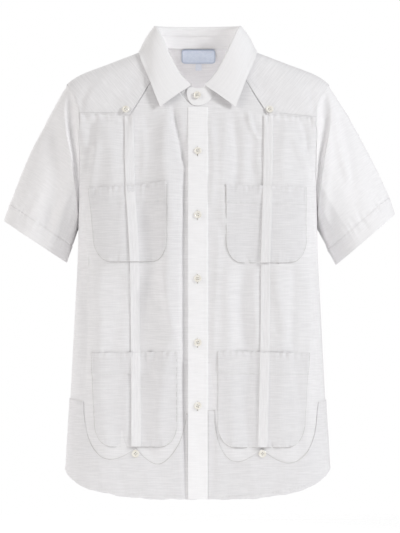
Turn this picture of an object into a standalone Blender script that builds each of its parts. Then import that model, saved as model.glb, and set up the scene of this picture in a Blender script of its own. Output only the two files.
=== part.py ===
"""A short-sleeved guayabera shirt, buttoned and filled out as when worn.

The wearer's neck is at the origin, +Z is up and the front faces -Y. "Left" and "right" are
the viewer's, from in front. Every cloth piece is a wall of its own, GAP away from its
neighbours. All sizes are in millimetres, and turn into metres where a mesh is made.
"""
import math
from functools import lru_cache

import bmesh
import bpy
import numpy as np

MM = 0.001
CLOTH = 1.0                 # thickness of a wall of cloth
GAP = 0.3                   # between two pieces
LAYER = CLOTH + GAP         # one piece of cloth lying on another
HEM_CLOTH = 2.0             # cloth turned over on itself

# ---------------------------------------------------------------- the body's shape
# Level cuts through the body. Squareness 2 is an ellipse, more is nearer a rectangle.
#    z, half width, front depth, back depth, squareness
SECTIONS = (
    (12, 68, 20, 46, 2.0),
    (9, 76, 22, 50, 2.0),
    (0, 98, 27, 60, 2.0),
    (-20, 150, 33, 74, 2.0),
    (-41, 203, 38, 85, 2.2),
    (-56, 223, 42, 91, 2.6),
    (-72, 229, 47, 95, 2.8),
    (-92, 230, 54, 98, 3.1),
    (-130, 222, 72, 103, 3.5),
    (-165, 213, 88, 106, 3.7),
    (-212, 207, 102, 106, 3.9),
    (-250, 204.5, 109, 104, 4.0),
    (-300, 202.7, 112, 101, 4.1),
    (-357, 204, 113, 98, 4.1),
    (-430, 208, 109, 94, 4.0),
    (-507, 212, 107, 93, 4.0),
    (-600, 217, 107, 95, 4.0),
    (-700, 223, 109, 98, 4.0),
    (-760, 225, 110, 99, 4.0),
)

# The armhole seam, as its distance in front of and behind the side seam.
#    z, in front, behind
ARMHOLE = (
    (-55, 0, 0),
    (-58, 13, 15),
    (-64, 20, 24),
    (-75, 29, 35),
    (-97, 40, 50),
    (-122, 49, 61),
    (-165, 57, 70),
    (-212, 60, 72),
    (-250, 53, 62),
    (-275, 42, 47),
    (-290, 28, 31),
    (-300, 0, 0),
)

# The largest soft folds of the fronts and the back: a trough has a positive depth.
#    x at top, x at foot, z of top, z of foot, half width, depth
FRONT_FOLDS = (
    (-82, -98, -120, -700, 24, 4.0),
    (-44, -36, -130, -720, 20, -2.5),
    (92, 84, -120, -690, 30, 4.0),
    (150, 160, -250, -700, 26, -2.5),
)
BACK_FOLDS = (
    (-70, -95, -130, -700, 30, 5.0),
    (60, 80, -130, -700, 30, 4.0),
    (0, 5, -300, -720, 34, -4.0),
)

# The lower edge of the shirt, deepest across the middle and rising to the side seams.
#    distance from the centre line, z
HEM = ((0, -759), (100, -757), (150, -750), (185, -741), (205, -730.5), (216, -721), (223.5, -711))

# ---------------------------------------------------------------- the cut of the pieces
FRONT_MEET = 12.0           # where the two fronts meet, under the placket
PLACKET_LEFT, PLACKET_RIGHT = -17.0, 17.5
PLACKET_TOP = -95.0

NECK_HALF = 76.0            # neckline: half width, height at the back and sides, and drop in front
NECK_TOP = 9.0
NECK_DROP = 101.0
NECK_CURVE = 2.6

# The yoke's pointed tab and lower edge on each front. Behind, its lower edge is level.
#    side: tab x, tab z, z beside the tab, armhole x, armhole z
YOKE_FRONT = {
    -1: (114, -108, -103, 204, -103),
    1: (118, -109, -104, 201, -110),
}
YOKE_SLANT = 47 / 28        # of the edge from the neck down to the tab
YOKE_BEND = 0.24            # where the edge levels out, as a share of the way from tab to armhole
YOKE_BACK_Z = -104.0
YOKE_SEAM = 0.8             # gap below the yoke's front edge, which tilts as the shoulder rounds
YOKE_CLOTH = 1.6            # the yoke is double cloth
YOKE_STEPS = (0, 0.28, 0.485, 0.66, 0.84, 1)    # of its mesh, from the shoulder line down
YOKE_COLUMNS = (0, YOKE_BEND, 0.5, 0.76, 1)     # and from the neck out
SHOULDER_TIP = 221.0        # x where the shoulder line meets the armhole

# Pockets. Each narrows toward its foot, where its corners are round.
#    name, left, right, left drift, right drift, top z left, top z right, foot z,
#    corner width, corner height, depth of the turned top
POCKETS = (
    ("chest_pocket_left", -183, -51, 9, 0, -233, -222, -357, 27, 38, 30),
    ("chest_pocket_right", 47, 184, 0, -2, -226, -231, -359, 27, 38, 30),
    ("lower_pocket_left", -180, -35, 7, 0, -511, -508, -670, 28, 38, 37),
    ("lower_pocket_right", 33.5, 186.5, 0, -7, -507, -511, -671, 28, 38, 37),
)

# The stitched-down pleats down each front: the middle of the strip at a few heights.
#    z, x left, x right
PLEAT_LINE = ((-105, -117, 120), (-222, -114.5, 118), (-337, -108, 115), (-490, -105.5, 113.5),
              (-680, -104.5, 109))
PLEAT_WIDTH = 16.0
PLEAT_FOOT = -667.0

# Scallops of the hem bands, each a cup between a wall and the cusp beside the pleat.
#    side, lowest x, lowest z, wall x, wall z, cusp x, cusp z, squareness of the cup
SCALLOPS = (
    (-1, -146, -690, -193, -594, -104.5, -670.5, 2.2),
    (-1, -68, -698, -19.5, -613, -104.5, -670.5, 1.7),
    (1, 68, -694, 28.5, -607, 107.5, -671.8, 2.2),
    (1, 152, -696, 203, -595, 107.5, -671.8, 2.2),
)
CUSP_CURVE = 1.7
BAND_BASE = 1.9             # of the band's inside from the bare front, which it doesn't follow facet by facet
BAND_SIDE_SLOPE = 0.2       # rise of the band's top edge from its outer wall to the side seam

# Sleeves: the two corners of each sleeve's opening, as seen from in front.
#    side, outer x, outer z, inner x, inner z
SLEEVE_OPENINGS = {
    -1: (-331, -287, -224, -358),
    1: (337, -275, 236, -362),
}
SLEEVE_DEPTH = 114.0        # of the opening, front to back
SLEEVE_BOW = 7.0            # how far the upper edge bows out between shoulder and opening
SLEEVE_BOW_WAY = (0.91, 0, 0.42)
SLEEVE_HEM = 30.0
SLEEVE_RUNS = (0, 0.045, 0.1, 0.2, 0.42, 0.7, 1)    # of its mesh, from armhole to hem
# The soft ridge where the sleeve's front drops past the armhole seam.
#    z, x of the ridge
SLEEVE_RIDGE = ((-62, 221), (-92, 226), (-137, 223), (-175, 216), (-225, 209), (-275, 204), (-305, 202))
RIDGE_HEIGHT = 6.0
RIDGE_REACH = 22.0
RIDGE_FADE = 0.75           # share of the sleeve's length where the ridge has faded out
VALLEY_SHARE = 0.55         # depth of the valley for each mm between seam and ridge

# Collar. The stand rises from the neckline, and the leaf folds over it and falls outside.
STAND_HEIGHT = 34.0
STAND_TOP_HALF = 71.0
STAND_TOP_BACK = 46.0
STAND_TOP_DROP = 105.0
STAND_TOP_FRONT_Y = -45.0
STAND_UNDER_END = 14.0      # x where the buttoned-under end stops
STAND_TAB_END = -19.0       # x of the tab's rounded end
TAB_ROUND = 9.0             # turn in degrees that the rounding takes
LAP_TURNS = (150, 166)      # where the right end moves out to lap over the left
LAP_OUT = 2.7
NECK_LINES = (0, 17.5, 34, 50, 61, 71.6, NECK_HALF)
#    turn from the back (degrees), x, y, z of the leaf's lower edge
LEAF_EDGE = ((0, 0, 67, -3), (45, 69, 48.5, -1), (70, 91, 26, 2), (90, 98.5, 1, 3.2),
             (112, 95.5, -20, -16), (135, 84, -42, -42), (160, 71, -58, -76), (173, 64, -63, -93))
LEAF_END_X = 12.6           # where the leaf's front edge starts, beside the tab
LEAF_RISE = 3.0             # of the fold above the stand
LEAF_ROOM = 4.0             # between the middle of the leaf and the body's bare surface
#    the roll over the stand's top: out, up as a share of LEAF_RISE
LEAF_ROLL = ((0, 0.65), (2.2, 1.0), (4.6, 0.2))
LEAF_BULGE = 5.0            # of the leaf between its roll and its edge
LEAF_STEPS = (0, 0.3, 0.65, 1)

BUTTON_DIAMETER = 12.7      # 20 ligne
BUTTON_THICK = 2.4
BUTTON_SIDES = 11
PLACKET_BUTTON_Z = (-170, -277, -384.5, -493, -600)
YOKE_BUTTONS = {"left": (-122, -99.3), "right": (122, -99.3)}
HEM_BUTTONS = {"left": (-105, -681), "right": (109, -681)}
BAND_BUTTON = (-1.0, -75.0)
BAND_BUTTON_OUT = 4.4       # of its underside from the bare neckline, over the lapped tab

LABEL = (-28, 30, 8.3, -15.5)        # left, right, top, foot
SIZE_TAB = (-4, 6.5, -15.9, -27)
LABEL_IN = 2.4              # of the labels' faces from the yoke's inside
YOKE_BUTTON_OUT = YOKE_CLOTH + 1.6      # of the yoke's buttons from the bare fronts

# ---------------------------------------------------------------- the mesh of the panels
FLAT = 187.0                # out to here a panel's lines stand upright; beyond, they go round
SIDE_LINES = (0.35, 0.7, 1.0)
HALF_LINES = (0, 17.5, 34, 61, 82, 98, 114, 135, 158, 175, FLAT)
LEVELS = (30, -8, -20, -32, -45, -58, -73, -90, -104, -130, -165, -205, -245, -275, -300,
          -357, -430, -510, -590, -650, -690, -715, -738, -790)
BACK_LINES = (0, 34, 82, 135, 175)
SNAP = 1.5                  # a cut this near a line of the mesh takes it over
SIDE_SNAP = 0.08            # the same, between stations past FLAT


def curve(points):
    """A smooth function through (key, value) points."""
    keys, values = np.array(sorted(points), float).T
    slopes = np.gradient(values, keys)

    def at(key):
        key = np.clip(key, keys[0], keys[-1])
        i = np.clip(np.searchsorted(keys, key) - 1, 0, len(keys) - 2)
        step = keys[i + 1] - keys[i]
        t = (key - keys[i]) / step
        ends = (1 + 2 * t) * (1 - t) ** 2 * values[i] + t * t * (3 - 2 * t) * values[i + 1]
        return ends + step * (t * (1 - t) ** 2 * slopes[i] + t * t * (t - 1) * slopes[i + 1])
    return at


def straight(points):
    """A function that runs straight between (key, value) points."""
    keys, values = np.array(sorted(points), float).T
    return lambda key: np.interp(key, keys, values)


half_width, front_depth, back_depth, squareness = (
    curve([(row[0], row[i]) for row in SECTIONS]) for i in range(1, 5))
armhole_front, armhole_back = (straight([(row[0], row[i]) for row in ARMHOLE]) for i in (1, 2))
hem_height = curve(HEM)
pleat_left, pleat_right = (curve([(row[0], row[i]) for row in PLEAT_LINE]) for i in (1, 2))
ridge_line = curve(SLEEVE_RIDGE)

shoulder_z = np.linspace(12, -56, 137)
shoulder_x = half_width(shoulder_z)


def shoulder(x):
    """Height of the shoulder line at a distance from the centre."""
    return float(np.interp(abs(x), shoulder_x, shoulder_z))


def fold_depth(x, z, folds):
    """How far the soft folds push the cloth in at a place."""
    total = 0.0
    for top_x, foot_x, top_z, foot_z, half, depth in folds:
        share = (top_z - z) / (top_z - foot_z)
        if 0 < share < 1:
            middle = top_x + (foot_x - top_x) * share
            total += depth * math.exp(-((x - middle) / half) ** 2) * math.sin(math.pi * share) ** 0.5
    return total


TURNS = np.linspace(0, math.pi / 2, 181)


@lru_cache(maxsize=None)
def quarter(z, back):
    """A quarter of a level cut, from the centre line round to the side, with its run."""
    power = squareness(z)
    depth = (back_depth if back else front_depth)(z)
    reach = (np.cos(TURNS) ** power + np.sin(TURNS) ** power) ** (-1 / power)
    x = half_width(z) * reach * np.sin(TURNS)
    y = depth * reach * np.cos(TURNS)
    run = np.concatenate([[0], np.cumsum(np.hypot(np.diff(x), np.diff(y)))])
    return x, y, run


def side_run(z, back):
    """Where the sidemost lines of a panel start and end, as run along the cut."""
    x, y, run = quarter(z, back)
    edge = (armhole_back if back else armhole_front)(z)
    return np.interp(FLAT, x, run), np.interp(-edge, -y, run) - GAP / 2


def body_depth(x, z, back=False):
    """Distance of the cloth behind or in front of the side seams, at x and z."""
    power = squareness(z)
    share = min(abs(x) / half_width(z), 1.0)
    depth = (back_depth if back else front_depth)(z) * (1 - share ** power) ** (1 / power)
    return depth - fold_depth(x, z, BACK_FOLDS if back else FRONT_FOLDS)


def body(station, z, back=False):
    """A point of the body. A station is x out to FLAT, then the share of the way on round."""
    side = math.copysign(1, station)
    if abs(station) <= FLAT:
        x, y = abs(station), body_depth(station, z, back)
    else:
        xs, ys, run = quarter(z, back)
        start, end = side_run(z, back)
        at = start + (end - start) * (abs(station) - FLAT)
        x, y = np.interp(at, run, xs), np.interp(at, run, ys)
        y -= fold_depth(side * x, z, BACK_FOLDS if back else FRONT_FOLDS)
    return np.array((side * x, y if back else -y, z))


def station_at(x, z, back=False):
    """The station of a place x on a panel."""
    if abs(x) <= FLAT:
        return x
    xs, ys, run = quarter(z, back)
    start, end = side_run(z, back)
    share = (np.interp(abs(x), xs, run) - start) / (end - start)
    return math.copysign(FLAT + min(share, 1.0), x)


@lru_cache(maxsize=None)
def outward(station, z, back):
    """The direction out of the cloth."""
    step = math.copysign(1.0 if abs(station) <= FLAT else 0.03, station)
    across = body(station, z, back) - body(station - step, z, back)
    along = body(station, z + 1, back) - body(station, z - 1, back)
    normal = np.cross(across, along)
    point = body(station, z, back)
    normal *= math.copysign(1, normal @ (point * (1, 2, 0)))
    return normal / np.linalg.norm(normal)


STATIONS = sorted({sign * line for sign in (-1, 1)
                   for line in HALF_LINES + tuple(FLAT + share for share in SIDE_LINES)})
LEVELS_UP = sorted(LEVELS)


@lru_cache(maxsize=None)
def mesh_point(station, z, out, back):
    return body(station, z, back) + out * outward(station, z, back)


def skin(station, z, out, back=False):
    """A point at a height above the panel's own flat facets, so that layers stay parallel."""
    i = min(max(np.searchsorted(STATIONS, station) - 1, 0), len(STATIONS) - 2)
    j = min(max(np.searchsorted(LEVELS_UP, z) - 1, 0), len(LEVELS_UP) - 2)
    left, right = STATIONS[i], STATIONS[i + 1]
    low, high = LEVELS_UP[j], LEVELS_UP[j + 1]
    u = (station - left) / (right - left)
    v = (z - low) / (high - low)
    low_point = mesh_point(left, low, out, back) * (1 - u) + mesh_point(right, low, out, back) * u
    high_point = mesh_point(left, high, out, back) * (1 - u) + mesh_point(right, high, out, back) * u
    return low_point * (1 - v) + high_point * v


# ---------------------------------------------------------------- making objects
COLOURS = {
    "cloth": ((0.86, 0.86, 0.85, 1), 0.85),
    "button": ((0.86, 0.82, 0.70, 1), 0.35),
    "label": ((0.78, 0.82, 0.90, 1), 0.7),
}


@lru_cache(maxsize=None)
def material(kind):
    colour, roughness = COLOURS[kind]
    made = bpy.data.materials.new(kind)
    made.use_nodes = True
    shader = made.node_tree.nodes["Principled BSDF"]
    shader.inputs["Base Color"].default_value = colour
    shader.inputs["Roughness"].default_value = roughness
    return made


def add_object(name, mesh_data, kind="cloth"):
    mesh = bpy.data.meshes.new(name)
    mesh_data.to_mesh(mesh)
    mesh_data.free()
    mesh.materials.append(material(kind))
    made = bpy.data.objects.new(name, mesh)
    bpy.context.scene.collection.objects.link(made)
    return made


def halves(face, points):
    """A face's two triangles, split along its shorter diagonal, so that both skins bend alike."""
    if len(face) == 3:
        return [face]
    a, b, c, d = face
    p, q, r, s = (np.array(points[k]) for k in face)
    if np.linalg.norm(p - r) <= np.linalg.norm(q - s):
        return [(a, b, c), (a, c, d)]
    return [(a, b, d), (b, c, d)]


def closed_wall(name, inner, outer, faces, kind="cloth"):
    """A solid between two skins that share their faces, closed along the open edges."""
    faces = [part for face in faces for part in halves(face, outer)]
    shape = bmesh.new()
    low = [shape.verts.new(np.array(point) * MM) for point in inner]
    high = [shape.verts.new(np.array(point) * MM) for point in outer]
    sides = {}
    for face in faces:
        shape.faces.new([high[k] for k in face])
        shape.faces.new([low[k] for k in reversed(face)])
        for a, b in zip(face, face[1:] + face[:1]):
            sides[(a, b)] = True
    for a, b in sides:
        if (b, a) not in sides:
            shape.faces.new([high[b], high[a], low[a], low[b]])
    bmesh.ops.recalc_face_normals(shape, faces=shape.faces)
    return add_object(name, shape, kind)


def thicken(name, points, faces, low, high, centre, kind="cloth"):
    """A wall on a free sheet, between two heights along its own normals."""
    sheet = bmesh.new()
    verts = [sheet.verts.new(point) for point in points]
    for face in faces:
        sheet.faces.new([verts[k] for k in face])
    bmesh.ops.recalc_face_normals(sheet, faces=sheet.faces)
    sheet.normal_update()
    normals = np.array([vert.normal[:] for vert in verts])
    points = np.array(points)
    if ((points - centre) * normals).sum() < 0:
        normals = -normals
    sheet.free()
    return closed_wall(name, points + low * normals, points + high * normals, faces, kind)


def grid_faces(rows, columns, wrap=False):
    """Faces of a grid of points listed row by row."""
    last = columns if wrap else columns - 1
    return [(r * columns + c, r * columns + (c + 1) % columns,
             (r + 1) * columns + (c + 1) % columns, (r + 1) * columns + c)
            for r in range(rows - 1) for c in range(last)]


def snapped(values, edges):
    """Lines of a mesh together with a piece's own edges, without slivers beside them."""
    def free(v):
        if abs(v) == FLAT:
            return True
        room = SIDE_SNAP if abs(v) > FLAT else SNAP
        return all((abs(v) > FLAT) != (abs(e) > FLAT) or abs(v - e) > room for e in edges)

    return sorted([v for v in values if min(edges) < v < max(edges) and free(v)] + list(edges))


def cut(columns, rows, top, foot, left=None, right=None):
    """Cut a piece out of the panel's mesh. Gives its corners as (station, z), and its faces."""
    index, faces = {}, []

    def corner(station, z):
        z = min(max(z, foot(station)), top(station))
        if left:
            station = min(max(station, left(z)), right(z))
        for edge in (foot(station), top(station)):
            if abs(z - edge) < SNAP:
                z = edge
        return index.setdefault((round(station, 4), round(float(z), 3)), len(index))

    table = [[corner(station, z) for station in columns] for z in rows]
    for upper, lower in zip(table[1:], table):
        for i in range(len(columns) - 1):
            ring = [lower[i], lower[i + 1], upper[i + 1], upper[i]]
            face = tuple(k for n, k in enumerate(ring) if k != ring[n - 1])
            if len(set(face)) == len(face) and len(face) > 2:
                faces.append(face)
    used = sorted({k for face in faces for k in face})
    places = list(index)
    renamed = {k: n for n, k in enumerate(used)}
    return [places[k] for k in used], [tuple(renamed[k] for k in face) for face in faces]


def cloth_piece(name, patch, low, high, back=False, kind="cloth"):
    """A piece of cloth on a panel. Its two heights are numbers, or functions of z."""
    places, faces = patch
    inner, outer = (
        [skin(station, z, height(z) if callable(height) else height, back) for station, z in places]
        for height in (low, high))
    return closed_wall(name, inner, outer, faces, kind)


# ---------------------------------------------------------------- outlines of the pieces
def hem_at(station, back=False):
    """Height of the shirt's lower edge at a station, found in a few steps."""
    z = HEM[0][1]
    for _ in range(4):
        z = float(hem_height(abs(body(station, z, back)[0])))
    return z


def neck_z(x):
    """Height of the front neckline."""
    return NECK_TOP - NECK_DROP * max(1 - (x / NECK_HALF) ** 2, 0) ** (NECK_CURVE / 2)


def neck_x(z):
    share = min(max((NECK_TOP - z) / NECK_DROP, 0), 1)
    return NECK_HALF * math.sqrt(1 - share ** (2 / NECK_CURVE))


def yoke_edge(x, side):
    """Height of the yoke's front edge: slanting from the neck to the tab, then along to the arm."""
    tab_x, tab_z, bend_z, arm_x, arm_z = YOKE_FRONT[side]
    if abs(x) < tab_x:
        return tab_z + (tab_x - abs(x)) * YOKE_SLANT
    return float(np.interp(abs(x), (tab_x, yoke_bend(side), arm_x), (tab_z, bend_z, arm_z)))


def yoke_bend(side):
    tab_x, _, _, arm_x, _ = YOKE_FRONT[side]
    return tab_x + (arm_x - tab_x) * YOKE_BEND


def front_top(station):
    """Top edge of a front: the neckline, then the yoke."""
    side = 1 if station > FRONT_MEET - 1 else -1
    x = station if abs(station) <= FLAT else body(station, YOKE_BACK_Z)[0]
    if abs(x) >= NECK_HALF:
        return yoke_edge(x, side) - YOKE_SEAM
    return min(neck_z(x) - GAP, yoke_edge(x, side) - YOKE_SEAM)


def band_top(station):
    """Top edge of a hem band."""
    side = 1 if station > 0 else -1
    z = PLEAT_FOOT
    for _ in range(4):
        z = scallop(body(station, z)[0], side)
    return z


def scallop(x, side):
    rows = [row for row in SCALLOPS if row[0] == side]
    for _, low_x, low_z, wall_x, wall_z, cusp_x, cusp_z, power in rows:
        if (x - cusp_x) * (wall_x - cusp_x) < 0:
            continue
        if (x - low_x) * (wall_x - low_x) >= 0:
            share = (x - low_x) / (wall_x - low_x)
            if share >= 1:
                rise = BAND_SIDE_SLOPE if abs(wall_x) > FLAT else 0
                return wall_z + abs(x - wall_x) * rise
            return low_z + (wall_z - low_z) * (1 - (1 - share ** power) ** (1 / power))
        share = (x - low_x) / (cusp_x - low_x)
        return low_z + (cusp_z - low_z) * share ** CUSP_CURVE
    return cusp_z


def make_fronts():
    for name, side in (("front_left", -1), ("front_right", 1)):
        meet = FRONT_MEET + side * GAP / 2
        tab_x = YOKE_FRONT[side][0] * side
        last = side * (FLAT + 1)
        columns = snapped(STATIONS, (meet, last, tab_x, side * yoke_bend(side), side * NECK_LINES[3]))
        patch = cut(columns, LEVELS_UP, front_top, hem_at)
        cloth_piece(name, patch, 0, CLOTH)


def make_back():
    columns = [s for s in STATIONS if abs(s) in BACK_LINES or abs(s) > FLAT]
    patch = cut(columns, LEVELS_UP, lambda s: YOKE_BACK_Z - GAP, lambda s: hem_at(s, True))
    cloth_piece("back", patch, 0, CLOTH, back=True)


def make_placket():
    columns = snapped(STATIONS, (PLACKET_LEFT, PLACKET_RIGHT, FRONT_MEET))
    patch = cut(columns, LEVELS_UP, lambda s: PLACKET_TOP, lambda s: hem_at(0))
    cloth_piece("placket", patch, LAYER, LAYER + CLOTH)


def make_hem_bands():
    for name, side in (("hem_band_left", -1), ("hem_band_right", 1)):
        edge = PLACKET_LEFT - GAP if side < 0 else PLACKET_RIGHT + GAP
        cups = [row for row in SCALLOPS if row[0] == side]
        own = [edge, side * (FLAT + 1), cups[0][5]]
        for _, low_x, _, wall_x, wall_z, cusp_x, _, _ in cups:
            own += [station_at(low_x + (wall_x - low_x) * share, wall_z) for share in (0.55, 0.85, 1)]
            own += [low_x, (low_x + cusp_x) / 2]
        patch = cut(snapped(STATIONS, own), LEVELS_UP, band_top, hem_at)
        cloth_piece(name, patch, BAND_BASE, BAND_BASE + CLOTH)


def pocket_edges(row):
    """The left and right edges of a pocket, as functions of z."""
    _, left, right, left_drift, right_drift, top_left, top_right, foot, wide, high, _ = row

    def edge(start, drift, top, inward):
        def at(z):
            share = (top - z) / (top - foot)
            into = max(foot + high - z, 0) / high
            return start + drift * share + inward * wide * (1 - math.sqrt(max(1 - into * into, 0)))
        return at
    return edge(left, left_drift, top_left, 1), edge(right, right_drift, top_right, -1)


def make_pockets():
    """Each pocket stands a layer off its front, clear of the pleat that runs on behind it."""
    base = 2 * LAYER
    for row in POCKETS:
        name, left, right, _, _, top_left, top_right, foot, _, high, band = row
        left_at, right_at = pocket_edges(row)
        top_at = straight([(left, top_left), (right, top_right)])
        band_z = (top_left + top_right) / 2 - band
        thick = straight([(band_z - 2, CLOTH), (band_z, HEM_CLOTH)])
        corner_rows = [foot + high * share for share in (0.12, 0.45, 1)]
        tops = (top_left, top_right)
        rows = snapped(LEVELS_UP, [foot, band_z - 2, band_z, max(tops)] + corner_rows)
        columns = snapped(STATIONS, (left, right))
        patch = cut(columns, rows, top_at, lambda s: foot, left_at, right_at)
        cloth_piece(name, patch, base, lambda z: base + thick(z))

        line = pleat_left if left < 0 else pleat_right
        strip_top = float(top_at(line(band_z)))
        strip_rows = snapped(LEVELS_UP, (foot + 1, band_z - 2, band_z, strip_top))
        strip = strip_patch(line, strip_rows)
        cloth_piece(name.replace("pocket", "pocket_pleat"), strip,
                    lambda z: base + thick(z) + GAP, lambda z: base + thick(z) + LAYER)


def strip_patch(line, rows):
    """A narrow upright strip that follows a pleat's line."""
    half = PLEAT_WIDTH / 2
    middles = [float(line(z)) for z in rows]
    columns = snapped(STATIONS, (min(middles) - half, max(middles) + half))
    return cut(columns, rows, lambda s: rows[-1], lambda s: rows[0],
               lambda z: float(line(z)) - half, lambda z: float(line(z)) + half)


def make_body_pleats():
    for name, line, side in (("pleat_left", pleat_left, -1), ("pleat_right", pleat_right, 1)):
        top = min(yoke_edge(line(-105) + offset, side) for offset in (-8, 0, 8)) - 2 * GAP
        patch = strip_patch(line, snapped(LEVELS_UP, (PLEAT_FOOT, top)))
        cloth_piece(name, patch, LAYER, LAYER + CLOTH)


# ---------------------------------------------------------------- yoke
def yoke_point(side, f, q, back):
    """A point of a shoulder. f runs from the neck to the armhole, q from the shoulder line down.

    The height depends on x and the other way round, so the two are found in turns.
    """
    x = NECK_HALF + (SHOULDER_TIP - NECK_HALF) * f
    if q == 0:
        return (side * x, 0.0, shoulder(x))
    for _ in range(12):
        top = shoulder(x)
        low = YOKE_BACK_Z if back else yoke_edge(x, side)
        z = top - q * q * (top - low)
        if back:
            inner = NECK_HALF
        else:
            tab_x, tab_z = YOKE_FRONT[side][:2]
            inner = max(neck_x(z), tab_x - (z - tab_z) / YOKE_SLANT)
        outer = abs(body(FLAT + 1, min(z, ARMHOLE[0][0]), back)[0])
        x = inner + (outer - inner) * f
    y = body_depth(side * x, z, back)
    return (side * x, y if back else -y, z)


def make_yoke():
    points, faces, index = [], [], {}

    def add(point):
        key = tuple(round(float(c), 2) for c in point)
        if key not in index:
            index[key] = len(points)
            points.append(point)
        return index[key]

    def add_grid(rows):
        table = [[add(point) for point in row] for row in rows]
        for low, high in zip(table, table[1:]):
            for i in range(len(low) - 1):
                faces.append((low[i], low[i + 1], high[i + 1], high[i]))

    for side in (-1, 1):
        add_grid([[yoke_point(side, f, q, False) for f in YOKE_COLUMNS[::side]] for q in YOKE_STEPS[::-1]])
    across = [sign * x / NECK_HALF for sign in (-1, 1) for x in NECK_LINES[1:]]
    across = sorted(across + [0])
    behind = []
    for q in YOKE_STEPS:
        z = NECK_TOP - q * q * (NECK_TOP - YOKE_BACK_Z)
        middle = [(NECK_HALF * share, body_depth(NECK_HALF * share, z, True), z) for share in across]
        left = [yoke_point(-1, f, q, True) for f in YOKE_COLUMNS[::-1]]
        right = [yoke_point(1, f, q, True) for f in YOKE_COLUMNS]
        behind.append(left + middle[1:-1] + right)
    add_grid(behind)
    thicken("yoke", points, faces, 0, YOKE_CLOTH, np.array((0, 0, -90)))


# ---------------------------------------------------------------- sleeves
def armhole_loop(side):
    """The sleeve's edge of the armhole seam, from the shoulder down the front and up the back."""
    foot = ARMHOLE[-1][0]
    halves = []
    for back in (False, True):
        top = YOKE_BACK_Z if back else YOKE_FRONT[side][4]
        points = [yoke_point(side, 1, q, back) for q in YOKE_STEPS[1:]]
        points += [body(side * (FLAT + 1), z, back) for z in LEVELS if foot < z < top - SNAP]
        half = []
        for x, y, z in points:
            away = GAP + CLOTH * abs(outward(side * (FLAT + 1), z, back)[0])
            half.append((x + side * away, y, z))
        halves.append(half)
    tip = (side * (SHOULDER_TIP + GAP), 0, shoulder(SHOULDER_TIP))
    under = (side * (half_width(foot) + GAP + CLOTH), 0, foot)
    return np.array([tip, *halves[0], under, *halves[1][::-1]], float)


def sleeve_grid(side, runs_at):
    """Points of a sleeve, row by row from the armhole toward its opening.

    runs_at gives the rows' shares of the way, point by point, from the sleeve's length at each.
    """
    outer_x, outer_z, inner_x, inner_z = SLEEVE_OPENINGS[side]
    seam = armhole_loop(side)
    steps = np.linalg.norm(np.diff(np.vstack([seam, seam[:1]]), axis=0), axis=1)
    turn = np.concatenate([[0], np.cumsum(steps)[:-1]]) / steps.sum() * 2 * math.pi
    middle = np.array(((outer_x + inner_x) / 2, 0, (outer_z + inner_z) / 2))
    to_outer = np.array((outer_x, 0, outer_z)) - middle
    cuff = (middle + np.cos(turn)[:, None] * to_outer
            + np.sin(turn)[:, None] * np.array((0, -SLEEVE_DEPTH / 2, 0)))
    bow = np.array(SLEEVE_BOW_WAY) * (side * SLEEVE_BOW, 0, SLEEVE_BOW)
    rows = []
    for runs in runs_at(np.linalg.norm(cuff - seam, axis=1)):
        run = runs[:, None]
        row = seam * (1 - run) + cuff * run
        row += 4 * run * (1 - run) * np.maximum(np.cos(turn), 0)[:, None] ** 2 * bow
        row[:, 1] += [sleeve_fold(abs(x), y, z, r) for (x, y, z), r in zip(row, runs)]
        rows.append(row)
    return rows


def sleeve_runs(length):
    """Rows of the sleeve's cloth, which ends a hem's width short of the opening."""
    return [run * (1 - SLEEVE_HEM / length) for run in SLEEVE_RUNS]


def hem_runs(length):
    return [1 - (SLEEVE_HEM - 2 * GAP) / length, np.ones(len(length))]


def sleeve_fold(x, y, z, run):
    """Push of the ridge (forward) and the valley (back) beside the armhole seam."""
    facing = min(abs(y) / 40, 1) ** 2 * math.copysign(1, -y)
    ridge = float(ridge_line(z))
    seam = ridge - 24 if z > -140 else 200
    width = max(ridge - seam, 3)
    start = min(run / 0.04, 1)
    fade = max(1 - run / RIDGE_FADE, 0)
    if x >= ridge:
        push = -RIDGE_HEIGHT * math.exp(-((x - ridge) / RIDGE_REACH) ** 2)
    else:
        share = min((ridge - x) / width, 1)
        push = -RIDGE_HEIGHT * (1 - share) + VALLEY_SHARE * width * math.sin(math.pi * share ** 0.8)
    return push * facing * start * fade


def make_sleeves():
    for name, side in (("left", -1), ("right", 1)):
        for piece, runs_at, thick in (("sleeve", sleeve_runs, CLOTH), ("sleeve_hem", hem_runs, HEM_CLOTH)):
            rows = sleeve_grid(side, runs_at)
            inner = []
            for row in rows:
                out = row - row.mean(axis=0)
                inner.append(row - thick * out / np.linalg.norm(out, axis=1)[:, None])
            closed_wall(f"{piece}_{name}", np.vstack(inner), np.vstack(rows),
                        grid_faces(len(rows), len(rows[0]), True))


# ---------------------------------------------------------------- collar
def neck_point(turn):
    """A point of the neckline. The turn is 0 at the centre back and 180 degrees in front."""
    angle = math.radians(turn)
    x = NECK_HALF * math.sin(angle)
    if math.cos(angle) >= 0:
        return np.array((x, back_depth(NECK_TOP) * math.cos(angle), NECK_TOP))
    z = NECK_TOP - NECK_DROP * abs(math.cos(angle)) ** NECK_CURVE
    return np.array((x, -body_depth(x, z), z))


def stand_top(turn):
    angle = math.radians(turn)
    x = STAND_TOP_HALF * math.sin(angle)
    top = NECK_TOP + STAND_HEIGHT
    if math.cos(angle) >= 0:
        return np.array((x, STAND_TOP_BACK * math.cos(angle), top))
    drop = abs(math.cos(angle)) ** NECK_CURVE
    return np.array((x, STAND_TOP_FRONT_Y * abs(math.cos(angle)), top - STAND_TOP_DROP * drop))


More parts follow.
